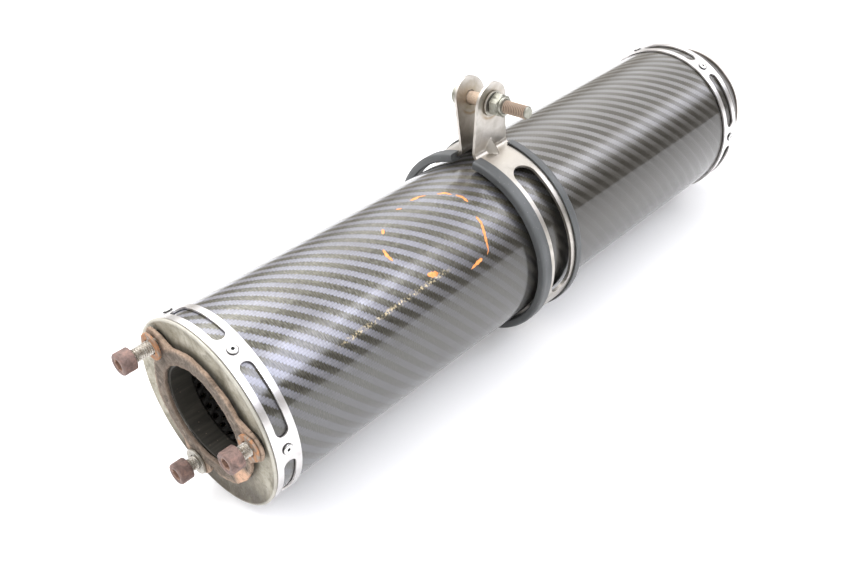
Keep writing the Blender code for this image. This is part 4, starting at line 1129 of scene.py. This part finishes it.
# ----------------------------------------------------------
# Studio: a plain pale floor under the can's lowest point, a broad soft light from behind and
# above, and a pale room round it.
# ----------------------------------------------------------


def pale_floor():
    """A white table, faintly lit from below."""
    f = Finish("pale_floor")
    cloud = f.grain(90, detail=3.0)
    colour = f.bands(cloud, (0.3, (0.76, 0.76, 0.77)), (0.7, (0.80, 0.80, 0.80)))
    return f.done(colour=colour, rough=0.55, lit=(1.0, 1.0, 1.0), lit_power=0.24)


floor_half, floor_z = 4, -0.0632
floor_corners = [(x * floor_half, y * floor_half, floor_z) for x, y in ((-1, -1), (1, -1), (1, 1), (-1, 1))]
floor_mesh = bpy.data.meshes.new("floor")
floor_mesh.from_pydata(floor_corners, [], [(0, 1, 2, 3)])
floor = bpy.data.objects.new("floor", floor_mesh)
floor_mesh.materials.append(pale_floor())
bpy.context.scene.collection.objects.link(floor)


def soft_light(name, place, towards, size, power):
    """A rectangular lamp at a place, turned towards a point, with its size in metres."""
    lamp = bpy.data.lights.new(name, "AREA")
    lamp.shape = "RECTANGLE"
    lamp.size, lamp.size_y = size
    lamp.energy = power
    holder = bpy.data.objects.new(name, lamp)
    back = np.array(place, float) - np.array(towards, float)
    back /= np.linalg.norm(back)
    right = np.cross([0, 0, 1.0], back)
    right /= np.linalg.norm(right)
    up = np.cross(back, right)
    turn = np.stack([right, up, back], axis=-1)
    holder.matrix_world = Matrix.Translation(place) @ Matrix(turn.tolist()).to_4x4()
    bpy.context.scene.collection.objects.link(holder)


soft_light("ceiling", place=(0.1, 0.7, 1.7), towards=(0.2, 0, 0), size=(1.8, 1.4), power=16.0)


def studio_surround():
    """A pale room seen by its directions (x, y, z): dim at the horizon, pale overhead and behind,
    with a tall bluish window to the near right and a slanting row of lamps farther right.
    """
    f = Finish("studio", "worlds", "Background", "Generated")

    def between(value, start, full, fading, gone):
        """0 up to the start, 1 from full to fading, and 0 again from gone on."""
        return f.times(f.span(value, start, full), f.span(value, gone, fading))

    def brighter(a, b):
        return f.calc("MAXIMUM", a, b)

    room = f.bands(
        f.z, (0.0, (0.34, 0.32, 0.29)), (0.24, (0.26, 0.24, 0.21)), (0.46, (1.15, 1.16, 1.19)),
        (0.62, (1.75, 1.75, 1.78)), (1.0, (2.0, 2.0, 2.03)),
    )
    window = f.times(between(f.x, 0.33, 0.37, 0.44, 0.50), between(f.z, 0.36, 0.46, 0.72, 0.84))
    strip = f.times(between(f.x, 0.42, 0.46, 0.50, 0.62), between(f.z, 0.58, 0.64, 0.69, 0.74))
    tilt = f.calc("MULTIPLY_ADD", f.x, 1.4, f.z)
    lamps = f.times(between(tilt, 1.40, 1.50, 1.60, 1.70), f.span(f.x, 0.61, 0.67))
    bright = brighter(brighter(window, f.times(strip, 0.6)), f.times(lamps, 0.40))
    glow = f.times(bright, f.span(f.y, -0.25, -0.40))
    light = f.calc("MULTIPLY_ADD", glow, 6.6, f.span(f.y, 0.05, 0.45, 1.0, 1.55))
    return f.done(sky=f.blend(glow, room, (1.08, 1.12, 1.36)), sky_power=light)


bpy.context.scene.world = studio_surround()
bpy.context.scene.view_settings.view_transform = "Standard"

camera_data = bpy.data.cameras.new("camera")
camera_data.lens = 40.49
camera_data.sensor_width = 36.0
camera_data.clip_start = 0.01
camera = bpy.data.objects.new("camera", camera_data)
camera.matrix_world = Matrix((
    (0.68454, 0.45355, -0.57071, -0.17581),
    (-0.72354, 0.32731, -0.60774, -0.37270),
    (-0.08884, 0.82895, 0.55222, 0.32621),
    (0.0, 0.0, 0.0, 1.0),
))
bpy.context.scene.collection.objects.link(camera)
bpy.context.scene.camera = camera
